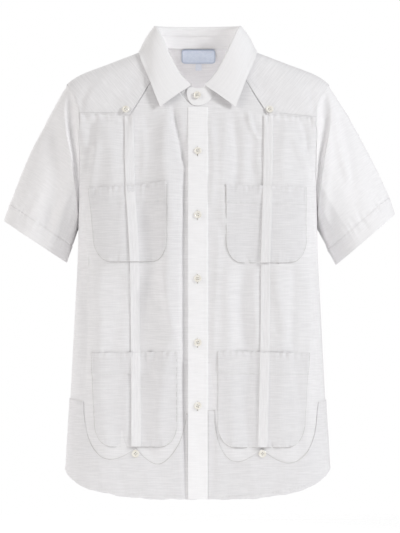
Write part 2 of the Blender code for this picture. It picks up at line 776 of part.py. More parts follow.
def make_collar_stand():
    """One band. Its right end laps over its left end in front and is rounded."""
    quarter_turns = [math.degrees(math.asin(x / NECK_HALF)) for x in NECK_LINES]
    half = sorted(set(quarter_turns + [180 - turn for turn in quarter_turns]))
    under = -180 - math.degrees(math.asin(STAND_UNDER_END / NECK_HALF))
    tab = 180 + math.degrees(math.asin(-STAND_TAB_END / NECK_HALF))
    turns = [under] + [-turn for turn in half[:0:-1]] + half
    turns += [tab - TAB_ROUND * share for share in (1, 0.6, 0.3, 0.1, 0)]
    rows = [[], [], []]
    for turn in turns:
        low, high = neck_point(turn), stand_top(turn)
        out = np.array((math.sin(math.radians(turn)), math.cos(math.radians(turn)), 0))
        low = low + (high - low) * (2 * GAP / STAND_HEIGHT) - out * (CLOTH / 2 + GAP)
        lap = min(max((turn - LAP_TURNS[0]) / (LAP_TURNS[1] - LAP_TURNS[0]), 0), 1)
        shift = out * (lap * LAP_OUT)
        tip = max(turn - (tab - TAB_ROUND), 0) / TAB_ROUND
        squeeze = 0.5 - 0.5 * math.sqrt(max(1 - tip ** 2, 0.04))
        for row, share in zip(rows, (squeeze, 0.5, 1 - squeeze)):
            row.append(low + (high - low) * share + shift)
    points = np.array([point for row in rows for point in row])
    faces = grid_faces(3, len(turns))
    thicken("collar_stand", points, faces, -CLOTH / 2, CLOTH / 2, np.array((0, 0, 0)))


def clear_of_body(point, room):
    """Move a point out until it is clear of the body's surface."""
    def share(p):
        power = squareness(p[2])
        depth = (front_depth if p[1] < 0 else back_depth)(p[2])
        return (abs(p[0] / half_width(p[2])) ** power + abs(p[1] / depth) ** power) ** (1 / power)

    point = np.array(point, float)
    for _ in range(8):
        if point[2] > SECTIONS[0][0]:
            break
        slope = np.array([(share(point + step) - share(point - step)) / 2 for step in np.eye(3)])
        length = np.linalg.norm(slope)
        lack = room - (share(point) - 1) / length
        if lack > 0:
            point += slope / length * lack
    return point


def make_collar_leaf():
    """The leaf rolls over the stand and falls to its edge, with a point at each front."""
    edges = [curve([(row[0], row[i]) for row in LEAF_EDGE]) for i in (1, 2, 3)]
    last = 180 - math.degrees(math.asin(LEAF_END_X / STAND_TOP_HALF))
    half = np.linspace(0, 1, 12)
    rows = []
    for turn in np.concatenate([-half[:0:-1], half]):
        side = math.copysign(1, turn)
        share = abs(turn)
        top_turn = share * last
        low_turn = share * LEAF_EDGE[-1][0]
        top = stand_top(top_turn)
        out = np.array((math.sin(math.radians(top_turn)), math.cos(math.radians(top_turn)), 0))
        edge = np.array([float(at(low_turn)) for at in edges])
        line = [top + out * away + np.array((0, 0, LEAF_RISE * up)) for away, up in LEAF_ROLL]
        fall = line.pop()
        for k in LEAF_STEPS:
            line.append(fall * (1 - k) + edge * k + out * LEAF_BULGE * math.sin(math.pi * k) ** 0.8)
        line = [clear_of_body(point, LEAF_ROOM) for point in line]
        rows.append([(side * x, y, z) for x, y, z in line])
    points = np.array([point for row in rows for point in row])
    thicken("collar_leaf", points, grid_faces(len(rows), len(rows[0])), -CLOTH / 2, CLOTH / 2,
            np.array((0, 0, 0)))


# ---------------------------------------------------------------- buttons and label
def make_button(name, x, z, out):
    """A turned disc with a raised rim, lying on the cloth."""
    station = station_at(x, z)
    normal = outward(station, z, False)
    centre = skin(station, z, out + GAP)
    radius = BUTTON_DIAMETER / 2
    profile = ((0, 0), (radius * 0.8, 0), (radius, BUTTON_THICK * 0.5), (radius * 0.9, BUTTON_THICK),
               (radius * 0.66, BUTTON_THICK * 0.8), (0, BUTTON_THICK * 0.7))
    across = np.cross(normal, (0, 0, 1))
    across /= np.linalg.norm(across)
    up = np.cross(across, normal)
    shape = bmesh.new()
    rings = []
    for reach, height in profile:
        count = BUTTON_SIDES if reach else 1
        angles = [2 * math.pi * k / count for k in range(count)]
        rings.append([shape.verts.new((centre + normal * height
                                       + reach * (across * math.cos(a) + up * math.sin(a))) * MM)
                      for a in angles])
    for low, high in zip(rings, rings[1:]):
        for k in range(BUTTON_SIDES):
            corners = [low[k % len(low)], low[(k + 1) % len(low)],
                       high[(k + 1) % len(high)], high[k % len(high)]]
            shape.faces.new(list(dict.fromkeys(corners)))
    bmesh.ops.recalc_face_normals(shape, faces=shape.faces)
    for face in shape.faces:
        face.smooth = True
    add_object(name, shape, "button")


def make_buttons():
    on_placket = LAYER + CLOTH
    for number, z in enumerate(PLACKET_BUTTON_Z, 1):
        make_button(f"button_placket_{number}", 0.0, z, on_placket)
    for name, (x, z) in YOKE_BUTTONS.items():
        make_button(f"button_yoke_{name}", x, z, YOKE_BUTTON_OUT)
    for name, (x, z) in HEM_BUTTONS.items():
        make_button(f"button_hem_{name}", x, z, BAND_BASE + CLOTH)
    make_button("button_collar", *BAND_BUTTON, BAND_BUTTON_OUT)


def make_labels():
    """The neck label and its size tab, on the inside of the yoke's back."""
    for name, box in (("neck_label", LABEL), ("size_tab", SIZE_TAB)):
        left, right, top, foot = box
        rows = []
        for z in np.linspace(foot, top, 4):
            rows.append([(x, body_depth(x, z, True) - LABEL_IN, z) for x in np.linspace(left, right, 5)])
        points = np.array([point for row in rows for point in row])
        thicken(name, points, grid_faces(4, 5), -CLOTH, 0, np.array((0, 0, -5)), "label")


def main():
    for item in list(bpy.data.objects):
        bpy.data.objects.remove(item, do_unlink=True)
    make_fronts()
    make_back()
    make_yoke()
    make_placket()
    make_hem_bands()
    make_body_pleats()
    make_pockets()
    make_sleeves()
    make_collar_stand()
    make_collar_leaf()
    make_buttons()
    make_labels()


main()
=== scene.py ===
"""A short-sleeved linen guayabera shirt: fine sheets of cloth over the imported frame.

The sheets repeat the surface of the CAD's walls, more finely, and add the creases, puckers,
turned edges and stitches. "Left" and "right" are the viewer's. All sizes here are in
millimetres, and turn into metres where a mesh is made.
"""
import math

import bpy
import numpy as np
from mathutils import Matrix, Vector


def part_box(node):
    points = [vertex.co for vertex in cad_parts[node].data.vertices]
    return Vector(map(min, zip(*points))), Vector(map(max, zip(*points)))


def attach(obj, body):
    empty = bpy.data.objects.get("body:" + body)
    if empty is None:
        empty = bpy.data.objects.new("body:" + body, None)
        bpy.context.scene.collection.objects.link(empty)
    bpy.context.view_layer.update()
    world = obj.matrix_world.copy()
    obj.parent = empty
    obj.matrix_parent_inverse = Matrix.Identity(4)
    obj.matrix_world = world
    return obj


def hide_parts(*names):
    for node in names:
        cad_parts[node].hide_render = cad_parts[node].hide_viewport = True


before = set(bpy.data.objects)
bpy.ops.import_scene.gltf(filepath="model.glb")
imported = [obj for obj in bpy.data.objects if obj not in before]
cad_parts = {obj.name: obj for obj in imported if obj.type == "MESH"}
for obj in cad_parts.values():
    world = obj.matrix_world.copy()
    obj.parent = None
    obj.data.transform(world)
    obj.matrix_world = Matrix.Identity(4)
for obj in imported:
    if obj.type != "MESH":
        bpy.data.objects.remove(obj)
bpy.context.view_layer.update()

MM = 0.001

# ---------------------------------------------------------------- the body's shape, as in the CAD
#    z, half width, front depth, back depth, squareness
SECTIONS = (
    (12, 68, 20, 46, 2.0),
    (9, 76, 22, 50, 2.0),
    (0, 98, 27, 60, 2.0),
    (-20, 150, 33, 74, 2.0),
    (-41, 203, 38, 85, 2.2),
    (-56, 223, 42, 91, 2.6),
    (-72, 229, 47, 95, 2.8),
    (-92, 230, 54, 98, 3.1),
    (-130, 222, 72, 103, 3.5),
    (-165, 213, 88, 106, 3.7),
    (-212, 207, 102, 106, 3.9),
    (-250, 204.5, 109, 104, 4.0),
    (-300, 202.7, 112, 101, 4.1),
    (-357, 204, 113, 98, 4.1),
    (-430, 208, 109, 94, 4.0),
    (-507, 212, 107, 93, 4.0),
    (-600, 217, 107, 95, 4.0),
    (-700, 223, 109, 98, 4.0),
    (-760, 225, 110, 99, 4.0),
)
#    z, distance of the armhole seam in front of and behind the side seam
ARMHOLE = (
    (-55, 0, 0), (-58, 13, 15), (-64, 20, 24), (-75, 29, 35), (-97, 40, 50), (-122, 49, 61),
    (-165, 57, 70), (-212, 60, 72), (-250, 53, 62), (-275, 42, 47), (-290, 28, 31), (-300, 0, 0),
)
#    x at top, x at foot, z of top, z of foot, half width, depth
FRONT_FOLDS = (
    (-82, -98, -120, -700, 24, 4.0),
    (-44, -36, -130, -720, 20, -2.5),
    (92, 84, -120, -690, 30, 4.0),
    (150, 160, -250, -700, 26, -2.5),
)
BACK_FOLDS = (
    (-70, -95, -130, -700, 30, 5.0),
    (60, 80, -130, -700, 30, 4.0),
    (0, 5, -300, -720, 34, -4.0),
)
HEM = ((0, -759), (100, -757), (150, -750), (185, -741), (205, -730.5), (216, -721), (223.5, -711))

FRONT_MEET = 12.0
GAP = 0.3
PLACKET_LEFT, PLACKET_RIGHT, PLACKET_TOP = -17.0, 17.5, -95.0
NECK_HALF, NECK_TOP, NECK_DROP, NECK_CURVE = 76.0, 9.0, 101.0, 2.6

#    side: tab x, tab z, z beside the tab, armhole x, armhole z
YOKE_FRONT = {
    -1: (114, -108, -103, 204, -103),
    1: (118, -109, -104, 201, -110),
}
YOKE_SLANT = 47 / 28
YOKE_BEND = 0.24
YOKE_BACK_Z = -104.0
YOKE_SEAM = 0.8
SHOULDER_TIP = 221.0

#    name, left, right, left drift, right drift, top z left, top z right, foot z,
#    corner width, corner height, depth of the turned top
POCKETS = (
    ("chest_pocket_left", -183, -51, 9, 0, -233, -222, -357, 27, 38, 30),
    ("chest_pocket_right", 47, 184, 0, -2, -226, -231, -359, 27, 38, 30),
    ("lower_pocket_left", -180, -35, 7, 0, -511, -508, -670, 28, 38, 37),
    ("lower_pocket_right", 33.5, 186.5, 0, -7, -507, -511, -671, 28, 38, 37),
)
#    z, x of the left pleat, x of the right pleat
PLEAT_LINE = ((-105, -117, 120), (-222, -114.5, 118), (-337, -108, 115), (-490, -105.5, 113.5),
              (-680, -104.5, 109))
PLEAT_WIDTH = 16.0
PLEAT_FOOT = -667.0
#    side, lowest x, lowest z, wall x, wall z, cusp x, cusp z, squareness of the cup
SCALLOPS = (
    (-1, -146, -690, -193, -594, -104.5, -670.5, 2.2),
    (-1, -68, -698, -19.5, -613, -104.5, -670.5, 1.7),
    (1, 68, -694, 28.5, -607, 107.5, -671.8, 2.2),
    (1, 152, -696, 203, -595, 107.5, -671.8, 2.2),
)
CUSP_CURVE = 1.7
BAND_SIDE_SLOPE = 0.2

#    side: outer x, outer z, inner x, inner z
SLEEVE_OPENINGS = {
    -1: (-331, -287, -224, -358),
    1: (337, -275, 236, -362),
}
SLEEVE_DEPTH = 114.0
SLEEVE_BOW = 7.0
SLEEVE_BOW_WAY = (0.91, 0, 0.42)
SLEEVE_HEM = 30.0
SLEEVE_RIDGE = ((-62, 221), (-92, 226), (-137, 223), (-175, 216), (-225, 209),
                (-275, 204), (-305, 202))
RIDGE_HEIGHT = 6.0
RIDGE_REACH = 22.0
RIDGE_FADE = 0.75
VALLEY_SHARE = 0.55

STAND_HEIGHT = 34.0
STAND_TOP_HALF = 71.0
STAND_TOP_BACK = 46.0
STAND_TOP_DROP = 105.0
STAND_TOP_FRONT_Y = -45.0
STAND_UNDER_END = 14.0
STAND_TAB_END = -19.0
TAB_ROUND = 9.0
LAP_TURNS = (150, 166)
LAP_OUT = 2.7
#    turn from the back, x, y, z of the leaf's lower edge
LEAF_EDGE = ((0, 0, 67, -3), (45, 69, 48.5, -1), (70, 91, 26, 2), (90, 98.5, 1, 3.2),
             (112, 95.5, -20, -16), (135, 84, -42, -42), (160, 71, -58, -76), (173, 64, -63, -93))
LEAF_END_X = 12.6
LEAF_RISE = 3.0
LEAF_INSIDE = 12.0          # the leaf's seam to the stand lies this far below the fold, inside
LEAF_ROOM = 4.0
LEAF_BULGE = 3.0
FOLD_STEPS = 21             # steps of the leaf's mesh up and over the fold

LABEL = (-28, 30, 8.3, -15.5)
SIZE_TAB = (-4, 6.5, -15.9, -27)
FLAT = 187.0

# ---------------------------------------------------------------- heights above the bare body
PANEL = 1.0                 # outside of a front or the back
THIN = 0.6                  # a single layer of cloth
STRIP = 1.3                 # inside of what lies on a panel

# ---------------------------------------------------------------- creases
# Soft troughs and ridges of the fronts. A trough has a positive depth.
#    x at top, z at top, x at foot, z at foot, half width, depth
FRONT_CREASES = (
    (-40, -96, -27, -190, 6, 4.0),
    (-22.5, -150, -22.5, -752, 5.5, 3.0),
    (-54, -100, -46, -300, 13, -3.4),
    (-46, -260, -52, -560, 14, -3.0),
    (-92, -108, -96, -300, 20, 4.0),
    (-94, -280, -90, -520, 22, 4.2),
    (-95, -112, -92, -215, 6, -1.2),
    (-126, -108, -128, -190, 7, 1.6),
    (-152, -108, -146, -260, 12, -1.6),
    (-178, -112, -192, -200, 8, 2.2),
    (-166, -150, -186, -250, 7, -1.4),
    (-60, -360, -36, -505, 8, -1.4),
    (-132, -375, -140, -520, 14, 2.2),
    (-160, -365, -168, -540, 12, -1.8),
    (-190, -340, -194, -590, 9, 2.0),
    (-200, -420, -204, -640, 8, -1.2),
    (-62, -500, -56, -690, 12, -1.8),
    (-92, -500, -88, -690, 18, 3.0),
    (-130, -520, -136, -680, 13, 1.4),
    (-160, -530, -158, -680, 12, -1.4),
    (-60, -700, -56, -757, 10, 0.7),
    (-90, -690, -86, -756, 8, -0.6),
    (-128, -694, -132, -752, 9, 0.8),
    (-165, -690, -160, -745, 8, -0.6),
    (24, -112, 25, -260, 7, -1.6),
    (46, -112, 44, -300, 9, -1.4),
    (62, -112, 66, -240, 8, 2.6),
    (84, -104, 100, -150, 5, -2.4),
    (96, -120, 94, -225, 9, 2.6),
    (108, -112, 110, -200, 5, 1.0),
    (146, -118, 148, -225, 11, -2.0),
    (176, -112, 190, -170, 6, 2.2),
    (160, -135, 186, -210, 6, -1.4),
    (32, -300, 30, -520, 7, -1.4),
    (54, -365, 48, -520, 10, -2.0),
    (78, -360, 74, -512, 11, 2.6),
    (98, -370, 96, -500, 7, -1.2),
    (136, -365, 142, -505, 10, -2.2),
    (158, -362, 166, -520, 9, 2.2),
    (182, -370, 190, -560, 8, -1.6),
    (200, -400, 206, -640, 8, 1.6),
    (60, -520, 56, -690, 11, -1.6),
    (84, -510, 84, -680, 11, 1.8),
    (140, -520, 146, -690, 12, -1.6),
    (168, -520, 172, -680, 9, 1.4),
    (24, -520, 26, -745, 5, 0.8),
    (58, -698, 52, -757, 9, 0.8),
    (92, -692, 94, -756, 8, -0.7),
    (132, -694, 128, -752, 9, 0.8),
    (170, -700, 168, -742, 8, -0.6),
)
BACK_CREASES = (
    (-20, -106, -34, -330, 12, 2.6),
    (24, -106, 30, -300, 11, 2.4),
    (2, -106, 6, -260, 10, -1.8),
    (-120, -108, -104, -330, 16, -2.2),
    (112, -108, 118, -350, 15, -2.0),
    (-165, -120, -150, -300, 12, 2.2),
    (160, -118, 148, -320, 12, 2.0),
    (-50, -330, -62, -740, 16, -2.4),
    (38, -340, 44, -745, 15, 2.4),
    (-130, -380, -140, -735, 16, 2.2),
    (128, -360, 138, -738, 17, -2.2),
    (-178, -330, -186, -700, 11, -1.8),
    (176, -340, 188, -690, 12, 1.8),
    (-5, -600, -12, -757, 14, 1.8),
    (90, -560, 86, -752, 12, -1.6),
)
# Short drag lines, each with its two ends anywhere on the panel.
FRONT_DRAGS = (
    (-200, -128, -168, -138, 3.5, 0.8),
    (-202, -152, -160, -170, 4.0, -0.9),
    (-203, -190, -172, -192, 3.5, 0.7),
    (-200, -262, -186, -330, 5.0, 1.2),
    (203, -124, 172, -132, 3.5, 0.8),
    (204, -146, 166, -158, 4.0, -0.8),
    (205, -172, 176, -180, 3.5, 0.7),
    (204, -300, 188, -360, 5.0, 1.2),
    (-206, -315, -176, -372, 4.0, 1.0),
    (-30, -262, -46, -300, 4.0, -0.8),
    (22, -262, 42, -312, 5.0, 0.9),
    (-24, -480, -60, -520, 5.0, 0.9),
    (-175, -455, -130, -480, 6.0, 0.8),
    (132, -420, 176, -446, 6.0, -0.8),
    (128, -470, 165, -500, 5.0, 0.8),
    (-84, -420, -40, -470, 6.0, -0.9),
)
BACK_DRAGS = (
    (-200, -150, -150, -190, 5.0, 1.1),
    (-198, -190, -160, -250, 5.0, -1.0),
    (200, -146, 152, -186, 5.0, 1.0),
    (198, -200, 164, -262, 5.0, -1.0),
    (-170, -470, -90, -510, 7.0, 1.2),
    (60, -455, 150, -500, 7.0, -1.1),
    (-40, -520, 60, -560, 8.0, 1.0),
)
# Creases of the sleeves, as they stand in front view, for the front and for the back of each.
#    x, z where each starts, x, z where it ends, half width, depth
SLEEVE_CREASES = {
    (-1, "front"): (
        (-240, -118, -252, -300, 15, 3.4),
        (-268, -140, -292, -290, 20, -1.8),
        (-226, -230, -238, -330, 9, -1.2),
        (-246, -262, -270, -338, 9, 1.5),
        (-282, -236, -300, -302, 8, 1.2),
    ),
    (1, "front"): (
        (228, -96, 256, -222, 6, -2.2),
        (238, -92, 270, -225, 8, 1.8),
        (221, -150, 217, -325, 7, -1.2),
        (262, -210, 284, -330, 12, 1.6),
        (300, -170, 322, -290, 12, -1.4),
        (288, -180, 306, -285, 9, 1.2),
    ),
    (-1, "back"): (
        (-232, -100, -250, -330, 12, 2.8),
        (-250, -110, -278, -325, 14, -2.4),
        (-268, -130, -306, -300, 12, 2.2),
        (-216, -200, -232, -345, 10, -2.0),
    ),
    (1, "back"): (
        (230, -96, 246, -330, 12, 2.6),
        (248, -104, 282, -325, 14, -2.2),
        (270, -120, 310, -292, 12, 2.4),
        (214, -190, 240, -350, 10, -2.0),
    ),
}
# Creases of the yoke, as they stand in front view, on its front and on its back.
#    x, z where each starts, x, z where it ends, half width, depth
YOKE_CREASES = (
    (-95, -30, -150, -96, 11, 1.8),
    (-150, -30, -190, -92, 10, -1.4),
    (-120, -45, -128, -84, 6, -0.9),
    (-186, -60, -201, -104, 6, 2.0),
    (96, -30, 118, -80, 10, 1.6),
    (106, -58, 93, -80, 3, -1.2),
    (150, -88, 178, -108, 3.5, 1.3),
    (146, -36, 186, -88, 10, -1.3),
    (190, -62, 200, -108, 6, 2.0),
)
YOKE_BACK_CREASES = (
    (-60, -40, -110, -100, 12, 1.8),
    (70, -40, 120, -100, 12, 1.6),
    (-165, -70, -190, -102, 8, -1.4),
    (160, -66, 190, -102, 8, -1.4),
    (-6, -50, 2, -102, 10, 1.0),
)
# Where the placket buttons, and its creases, in the columns above.
PLACKET_BUTTON_Z = (-170, -277, -384.5, -493, -600)
PLACKET_CREASES = (
    (-14, -196, 12, -214, 4, 0.5),
    (-12, -322, 14, -330, 5, 0.5),
    (12, -436, -14, -446, 5, -0.4),
    (-10, -545, 14, -556, 5, 0.5),
    (10, -650, -12, -662, 5, 0.4),
    (-2, -630, 2, -740, 6, 0.5),
)
FRONT_CREASE_SCALE, BACK_CREASE_SCALE, SLEEVE_CREASE_SCALE = 1.8, 1.9, 1.5

YOKE_PUCKER = 3.6           # height of the puckers under the yoke
YOKE_FALL, YOKE_FALL_REACH = 1.8, 9     # the cloth just under the yoke falls back this far
FACING_RIDGE = 0.35         # height of the step at the edge of the yoke's facing
FACING_SLOPE = 0.1          # of the facing's edge, which shows through between tab and placket
POCKET_PROUD = 0.6          # a pocket's face above what lies on a panel, at its edge
BAND_PROUD = 0.3            # the same for a hem band
EDGE_ROLL, EDGE_REACH = 0.9, 1.9        # height and width of a turned edge's roll
# a turned edge carries a thin line of darker cloth, a painted shadow, this wide
EDGE_SHADE = 1.3            # width of the shaded line along a turned edge
ROW_GAP = 0.15              # mesh rows closer than this are one row

STITCH_PITCH, STITCH_LENGTH, STITCH_WIDTH = 3.0, 2.1, 0.42
STITCH_RISE, STITCH_SINK, STITCH_INSET = 0.30, 0.12, 2.0
SIDE_STITCHES = np.arange(-306, -716, -2.5)
PATH_STEP = 0.5             # half the span over which a path's normals are measured


def curve(points):
    """A smooth function through (key, value) points."""
    keys, values = np.array(sorted(points), float).T
    slopes = np.gradient(values, keys)

    def at(key):
        key = np.clip(key, keys[0], keys[-1])
        i = np.clip(np.searchsorted(keys, key) - 1, 0, len(keys) - 2)
        step = keys[i + 1] - keys[i]
        t = (key - keys[i]) / step
        ends = (1 + 2 * t) * (1 - t) ** 2 * values[i] + t * t * (3 - 2 * t) * values[i + 1]
        return ends + step * (t * (1 - t) ** 2 * slopes[i] + t * t * (t - 1) * slopes[i + 1])
    return at


def straight(points):
    keys, values = np.array(sorted(points), float).T
    return lambda key: np.interp(key, keys, values)


half_width, front_depth, back_depth, squareness = (
    curve([(row[0], row[i]) for row in SECTIONS]) for i in range(1, 5))
armhole_front, armhole_back = (straight([(row[0], row[i]) for row in ARMHOLE]) for i in (1, 2))
hem_height = curve(HEM)
pleat_line = {-1: curve([(row[0], row[1]) for row in PLEAT_LINE]),
              1: curve([(row[0], row[2]) for row in PLEAT_LINE])}
ridge_line = curve(SLEEVE_RIDGE)
shoulder_z = np.linspace(12, -56, 137)
shoulder_x = half_width(shoulder_z)


def shoulder(x):
    """Height of the shoulder line at a distance from the centre."""
    return np.interp(np.abs(x), shoulder_x, shoulder_z)


def fold_depth(x, z, folds):
    """How far the largest soft folds push the cloth in."""
    total = 0.0
    for top_x, foot_x, top_z, foot_z, half, depth in folds:
        share = np.clip((top_z - z) / (top_z - foot_z), 0, 1)
        middle = top_x + (foot_x - top_x) * share
        total = total + depth * np.exp(-((x - middle) / half) ** 2) * np.sin(np.pi * share) ** 0.5
    return total


def quarter(z, back):
    """A quarter of a level cut, from the centre line round to the side, with its run."""
    turns = np.linspace(0, math.pi / 2, 181)
    power = squareness(z)
    depth = (back_depth if back else front_depth)(z)
    reach = (np.cos(turns) ** power + np.sin(turns) ** power) ** (-1 / power)
    x = half_width(z) * reach * np.sin(turns)
    y = depth * reach * np.cos(turns)
    return x, y, np.concatenate([[0], np.cumsum(np.hypot(np.diff(x), np.diff(y)))])


TABLE_STEP = 2.0
TABLE_Z = np.arange(-800, 13, TABLE_STEP)
TABLE_SHARES = np.linspace(0, 1, 41)


def side_table(back):
    """x, y and run of the cloth past FLAT, for heights and for shares of the way round."""
    rows = []
    for z in TABLE_Z:
        x, y, run = quarter(z, back)
        edge = (armhole_back if back else armhole_front)(z)
        start, end = np.interp(FLAT, x, run), np.interp(-edge, -y, run) - GAP / 2
        at = start + (end - start) * TABLE_SHARES
        rows.append((np.interp(at, run, x), np.interp(at, run, y), at - start))
    return np.array(rows).transpose(1, 0, 2)


SIDE_TABLES = {back: side_table(back) for back in (False, True)}


def look_up(table, z, share):
    """Bilinear reading of a side table."""
    i = np.clip((z - TABLE_Z[0]) / TABLE_STEP, 0, len(TABLE_Z) - 1.001)
    j = np.clip(share, 0, 1) * (len(TABLE_SHARES) - 1.001)
    a, b = i.astype(int), j.astype(int)
    u, v = i - a, j - b
    return ((table[:, a, b] * (1 - v) + table[:, a, b + 1] * v) * (1 - u)
            + (table[:, a + 1, b] * (1 - v) + table[:, a + 1, b + 1] * v) * u)


def bare_depth(x, z, back=False):
    """Distance of the cloth behind or in front of the side seams."""
    power = squareness(z)
    share = np.minimum(np.abs(x) / half_width(z), 1.0)
    depth = (back_depth if back else front_depth)(z) * (1 - share ** power) ** (1 / power)
    return depth - fold_depth(x, z, BACK_FOLDS if back else FRONT_FOLDS)


def body(station, z, back=False):
    """Points of the body, and their distance across the cloth from the centre line."""
    station, z = (np.array(a, float) for a in np.broadcast_arrays(station, z))
    side = np.where(station < 0, -1.0, 1.0)
    reach = np.abs(station)
    x = np.minimum(reach, FLAT)
    y = bare_depth(side * x, z, back)
    across = x.copy()
    past = reach > FLAT
    if past.any():
        px, py, run = look_up(SIDE_TABLES[back], z[past], reach[past] - FLAT)
        x[past] = px
        y[past] = py - fold_depth(side[past] * px, z[past], BACK_FOLDS if back else FRONT_FOLDS)
        across[past] = FLAT + run
    return np.stack((side * x, y if back else -y, z), -1), side * across


def station_at(x, z, back=False):
    """The station of a place x on a panel."""
    if abs(x) <= FLAT:
        return x
    shares = np.linspace(0, 1, 200)
    xs = body(FLAT + shares, np.full(200, float(z)), back)[0][:, 0]
    return math.copysign(FLAT + float(np.interp(abs(x), xs, shares)), x)


# ---------------------------------------------------------------- outlines, as in the CAD
def hem_at(station, back=False):
    """Height of the hem's edge, with its small waves."""
    station = np.asarray(station)
    z = np.full(station.shape, -735.0)
    for _ in range(5):
        z = hem_height(np.abs(body(station, z, back)[0][..., 0]))
    return z + 0.6 * (1 + np.sin(station / 9.0)) + 0.4 * (1 + np.sin(station / 4.1))


def neck_z(x):
    return NECK_TOP - NECK_DROP * np.maximum(1 - (x / NECK_HALF) ** 2, 0) ** (NECK_CURVE / 2)


def neck_x(z):
    share = np.clip((NECK_TOP - z) / NECK_DROP, 0, 1)
    return NECK_HALF * np.sqrt(1 - share ** (2 / NECK_CURVE))


def yoke_edge(x, side):
    """Height of the yoke's front edge."""
    tab_x, tab_z, bend_z, arm_x, arm_z = YOKE_FRONT[side]
    bend_x = tab_x + (arm_x - tab_x) * YOKE_BEND
    flat_part = np.interp(np.abs(x), (tab_x, bend_x, arm_x), (tab_z, bend_z, arm_z))
    return np.where(np.abs(x) < tab_x, tab_z + (tab_x - np.abs(x)) * YOKE_SLANT, flat_part)


def front_top(station, side):
    """Top edge of a front: the neckline, then the yoke."""
    x = body(station, np.full(np.shape(station), YOKE_BACK_Z))[0][..., 0]
    under_yoke = yoke_edge(x, side) - YOKE_SEAM
    return np.where(np.abs(x) >= NECK_HALF, under_yoke, np.minimum(neck_z(x) - GAP, under_yoke))


def scallop(x, side):
    """Top edge of a hem band."""
    for _, low_x, low_z, wall_x, wall_z, cusp_x, cusp_z, power in SCALLOPS:
        if low_x * side < 0 or (x - cusp_x) * (wall_x - cusp_x) < 0:
            continue
        if (x - low_x) * (wall_x - low_x) >= 0:
            share = (x - low_x) / (wall_x - low_x)
            if share >= 1:
                return wall_z + abs(x - wall_x) * (BAND_SIDE_SLOPE if abs(wall_x) > FLAT else 0)
            return low_z + (wall_z - low_z) * (1 - (1 - share ** power) ** (1 / power))
        return low_z + (cusp_z - low_z) * ((x - low_x) / (cusp_x - low_x)) ** CUSP_CURVE
    return cusp_z


# ---------------------------------------------------------------- creases and puckers
def creases(across, z, table):
    """Height of the cloth's listed creases: each runs between two ends and fades at them."""
    total = np.zeros(np.shape(across))
    for x0, z0, x1, z1, half, depth in table:
        way = np.array((x1 - x0, z1 - z0), float)
        length = np.hypot(*way)
        way /= length
        along = ((across - x0) * way[0] + (z - z0) * way[1]) / length
        off = (across - x0) * way[1] - (z - z0) * way[0]
        off = off + half * 0.35 * np.sin(along * 5.0 + x0)
        fade = np.clip(np.minimum(along + 0.12, 1.12 - along) / 0.3, 0, 1)
        total -= depth * np.exp(-(off / half) ** 2) * fade * fade * (3 - 2 * fade)
    return total


def wrinkles(along, away, pitch, reach, height, seed, start=None, end=None):
    """Short wrinkles that leave a seam at right angles and die out away from it."""
    rng = np.random.default_rng(seed)
    at = along.min() if start is None else start
    end = along.max() if end is None else end
    total = np.zeros(np.shape(along))
    while at < end:
        at += pitch * rng.uniform(0.45, 1.6)
        width = pitch * rng.uniform(0.26, 0.46)
        length = reach * rng.uniform(0.45, 1.5)
        size = height * rng.uniform(0.35, 1.0) * rng.choice((-1, -1, 1))
        lean = rng.uniform(-0.25, 0.25)
        total += size * np.exp(-((along - at - lean * away) / width) ** 2 - (away / length) ** 2)
    return total


def ripple(across, z, seed, count, size):
    """Faint unevenness all over a panel: many wide, shallow bumps."""
    rng = np.random.default_rng(seed)
    total = np.zeros(np.shape(across))
    for _ in range(count):
        x, y = rng.uniform(-230, 230), rng.uniform(-760, -90)
        wide, tall = rng.uniform(10, 26), rng.uniform(16, 60)
        lean = rng.uniform(-0.5, 0.5)
        high = size * rng.uniform(-1, 1)
        dx, dz = across - x, z - y
        total += high * np.exp(-((dx - lean * dz) / wide) ** 2 - (dz / tall) ** 2)
    return total


def front_relief(across, z):
    """The creases that every layer of a front follows."""
    total = FRONT_CREASE_SCALE * creases(across, z, FRONT_CREASES) + creases(across, z, FRONT_DRAGS)
    total += ripple(across, z, 11, 130, 1.5)
    for side in (-1, 1):
        tab_x, tab_z = YOKE_FRONT[side][:2]
        out = side * across
        below = yoke_edge(np.abs(across), side) - z
        beside = smooth_step((out - tab_x + 4) / 6) * smooth_step((200 - out) / 8)
        total += beside * wrinkles(out, np.maximum(below, 0), 9, 12, YOKE_PUCKER, 21 + side,
                                   60, 205)
        # just under the yoke the cloth falls back, so it darkens there
        depth = np.maximum(below, 0) / YOKE_FALL_REACH
        total -= beside * YOKE_FALL * depth * np.exp(1 - depth)
        # the yoke's facing shows through between its tab and the placket, with puckers under it
        facing = tab_z + 3 + (tab_x - out) * FACING_SLOPE
        inside = smooth_step((out - 24) / 6) * smooth_step((tab_x - 3 - out) / 6)
        gap = facing - z
        total += inside * wrinkles(out, np.abs(gap), 9, 9, 1.0, 25 + side, 20, 120) * (gap > 0)
        total += inside * FACING_RIDGE * fade_out(gap / 0.5)
    return total


def smooth_step(share):
    share = np.clip(share, 0, 1)
    return share * share * (3 - 2 * share)


def fade_out(value):
    """1 well below zero, 0 well above it, and smooth between them."""
    return 1 / (1 + np.exp(np.clip(value, -60, 60)))


def back_relief(across, z):
    total = BACK_CREASE_SCALE * creases(across, z, BACK_CREASES) + creases(across, z, BACK_DRAGS)
    total += ripple(across, z, 12, 120, 1.5)
    total += wrinkles(across, np.maximum(YOKE_BACK_Z - z, 0), 13, 18, 0.9, 27)
    return total


# ---------------------------------------------------------------- meshes
def edge_keys(faces, count):
    """Both ends of every face's edges, as one number for each direction."""
    starts = faces.reshape(-1)
    ends = np.roll(faces, -1, axis=1).reshape(-1)
    return starts.astype(np.int64) * count + ends, ends.astype(np.int64) * count + starts


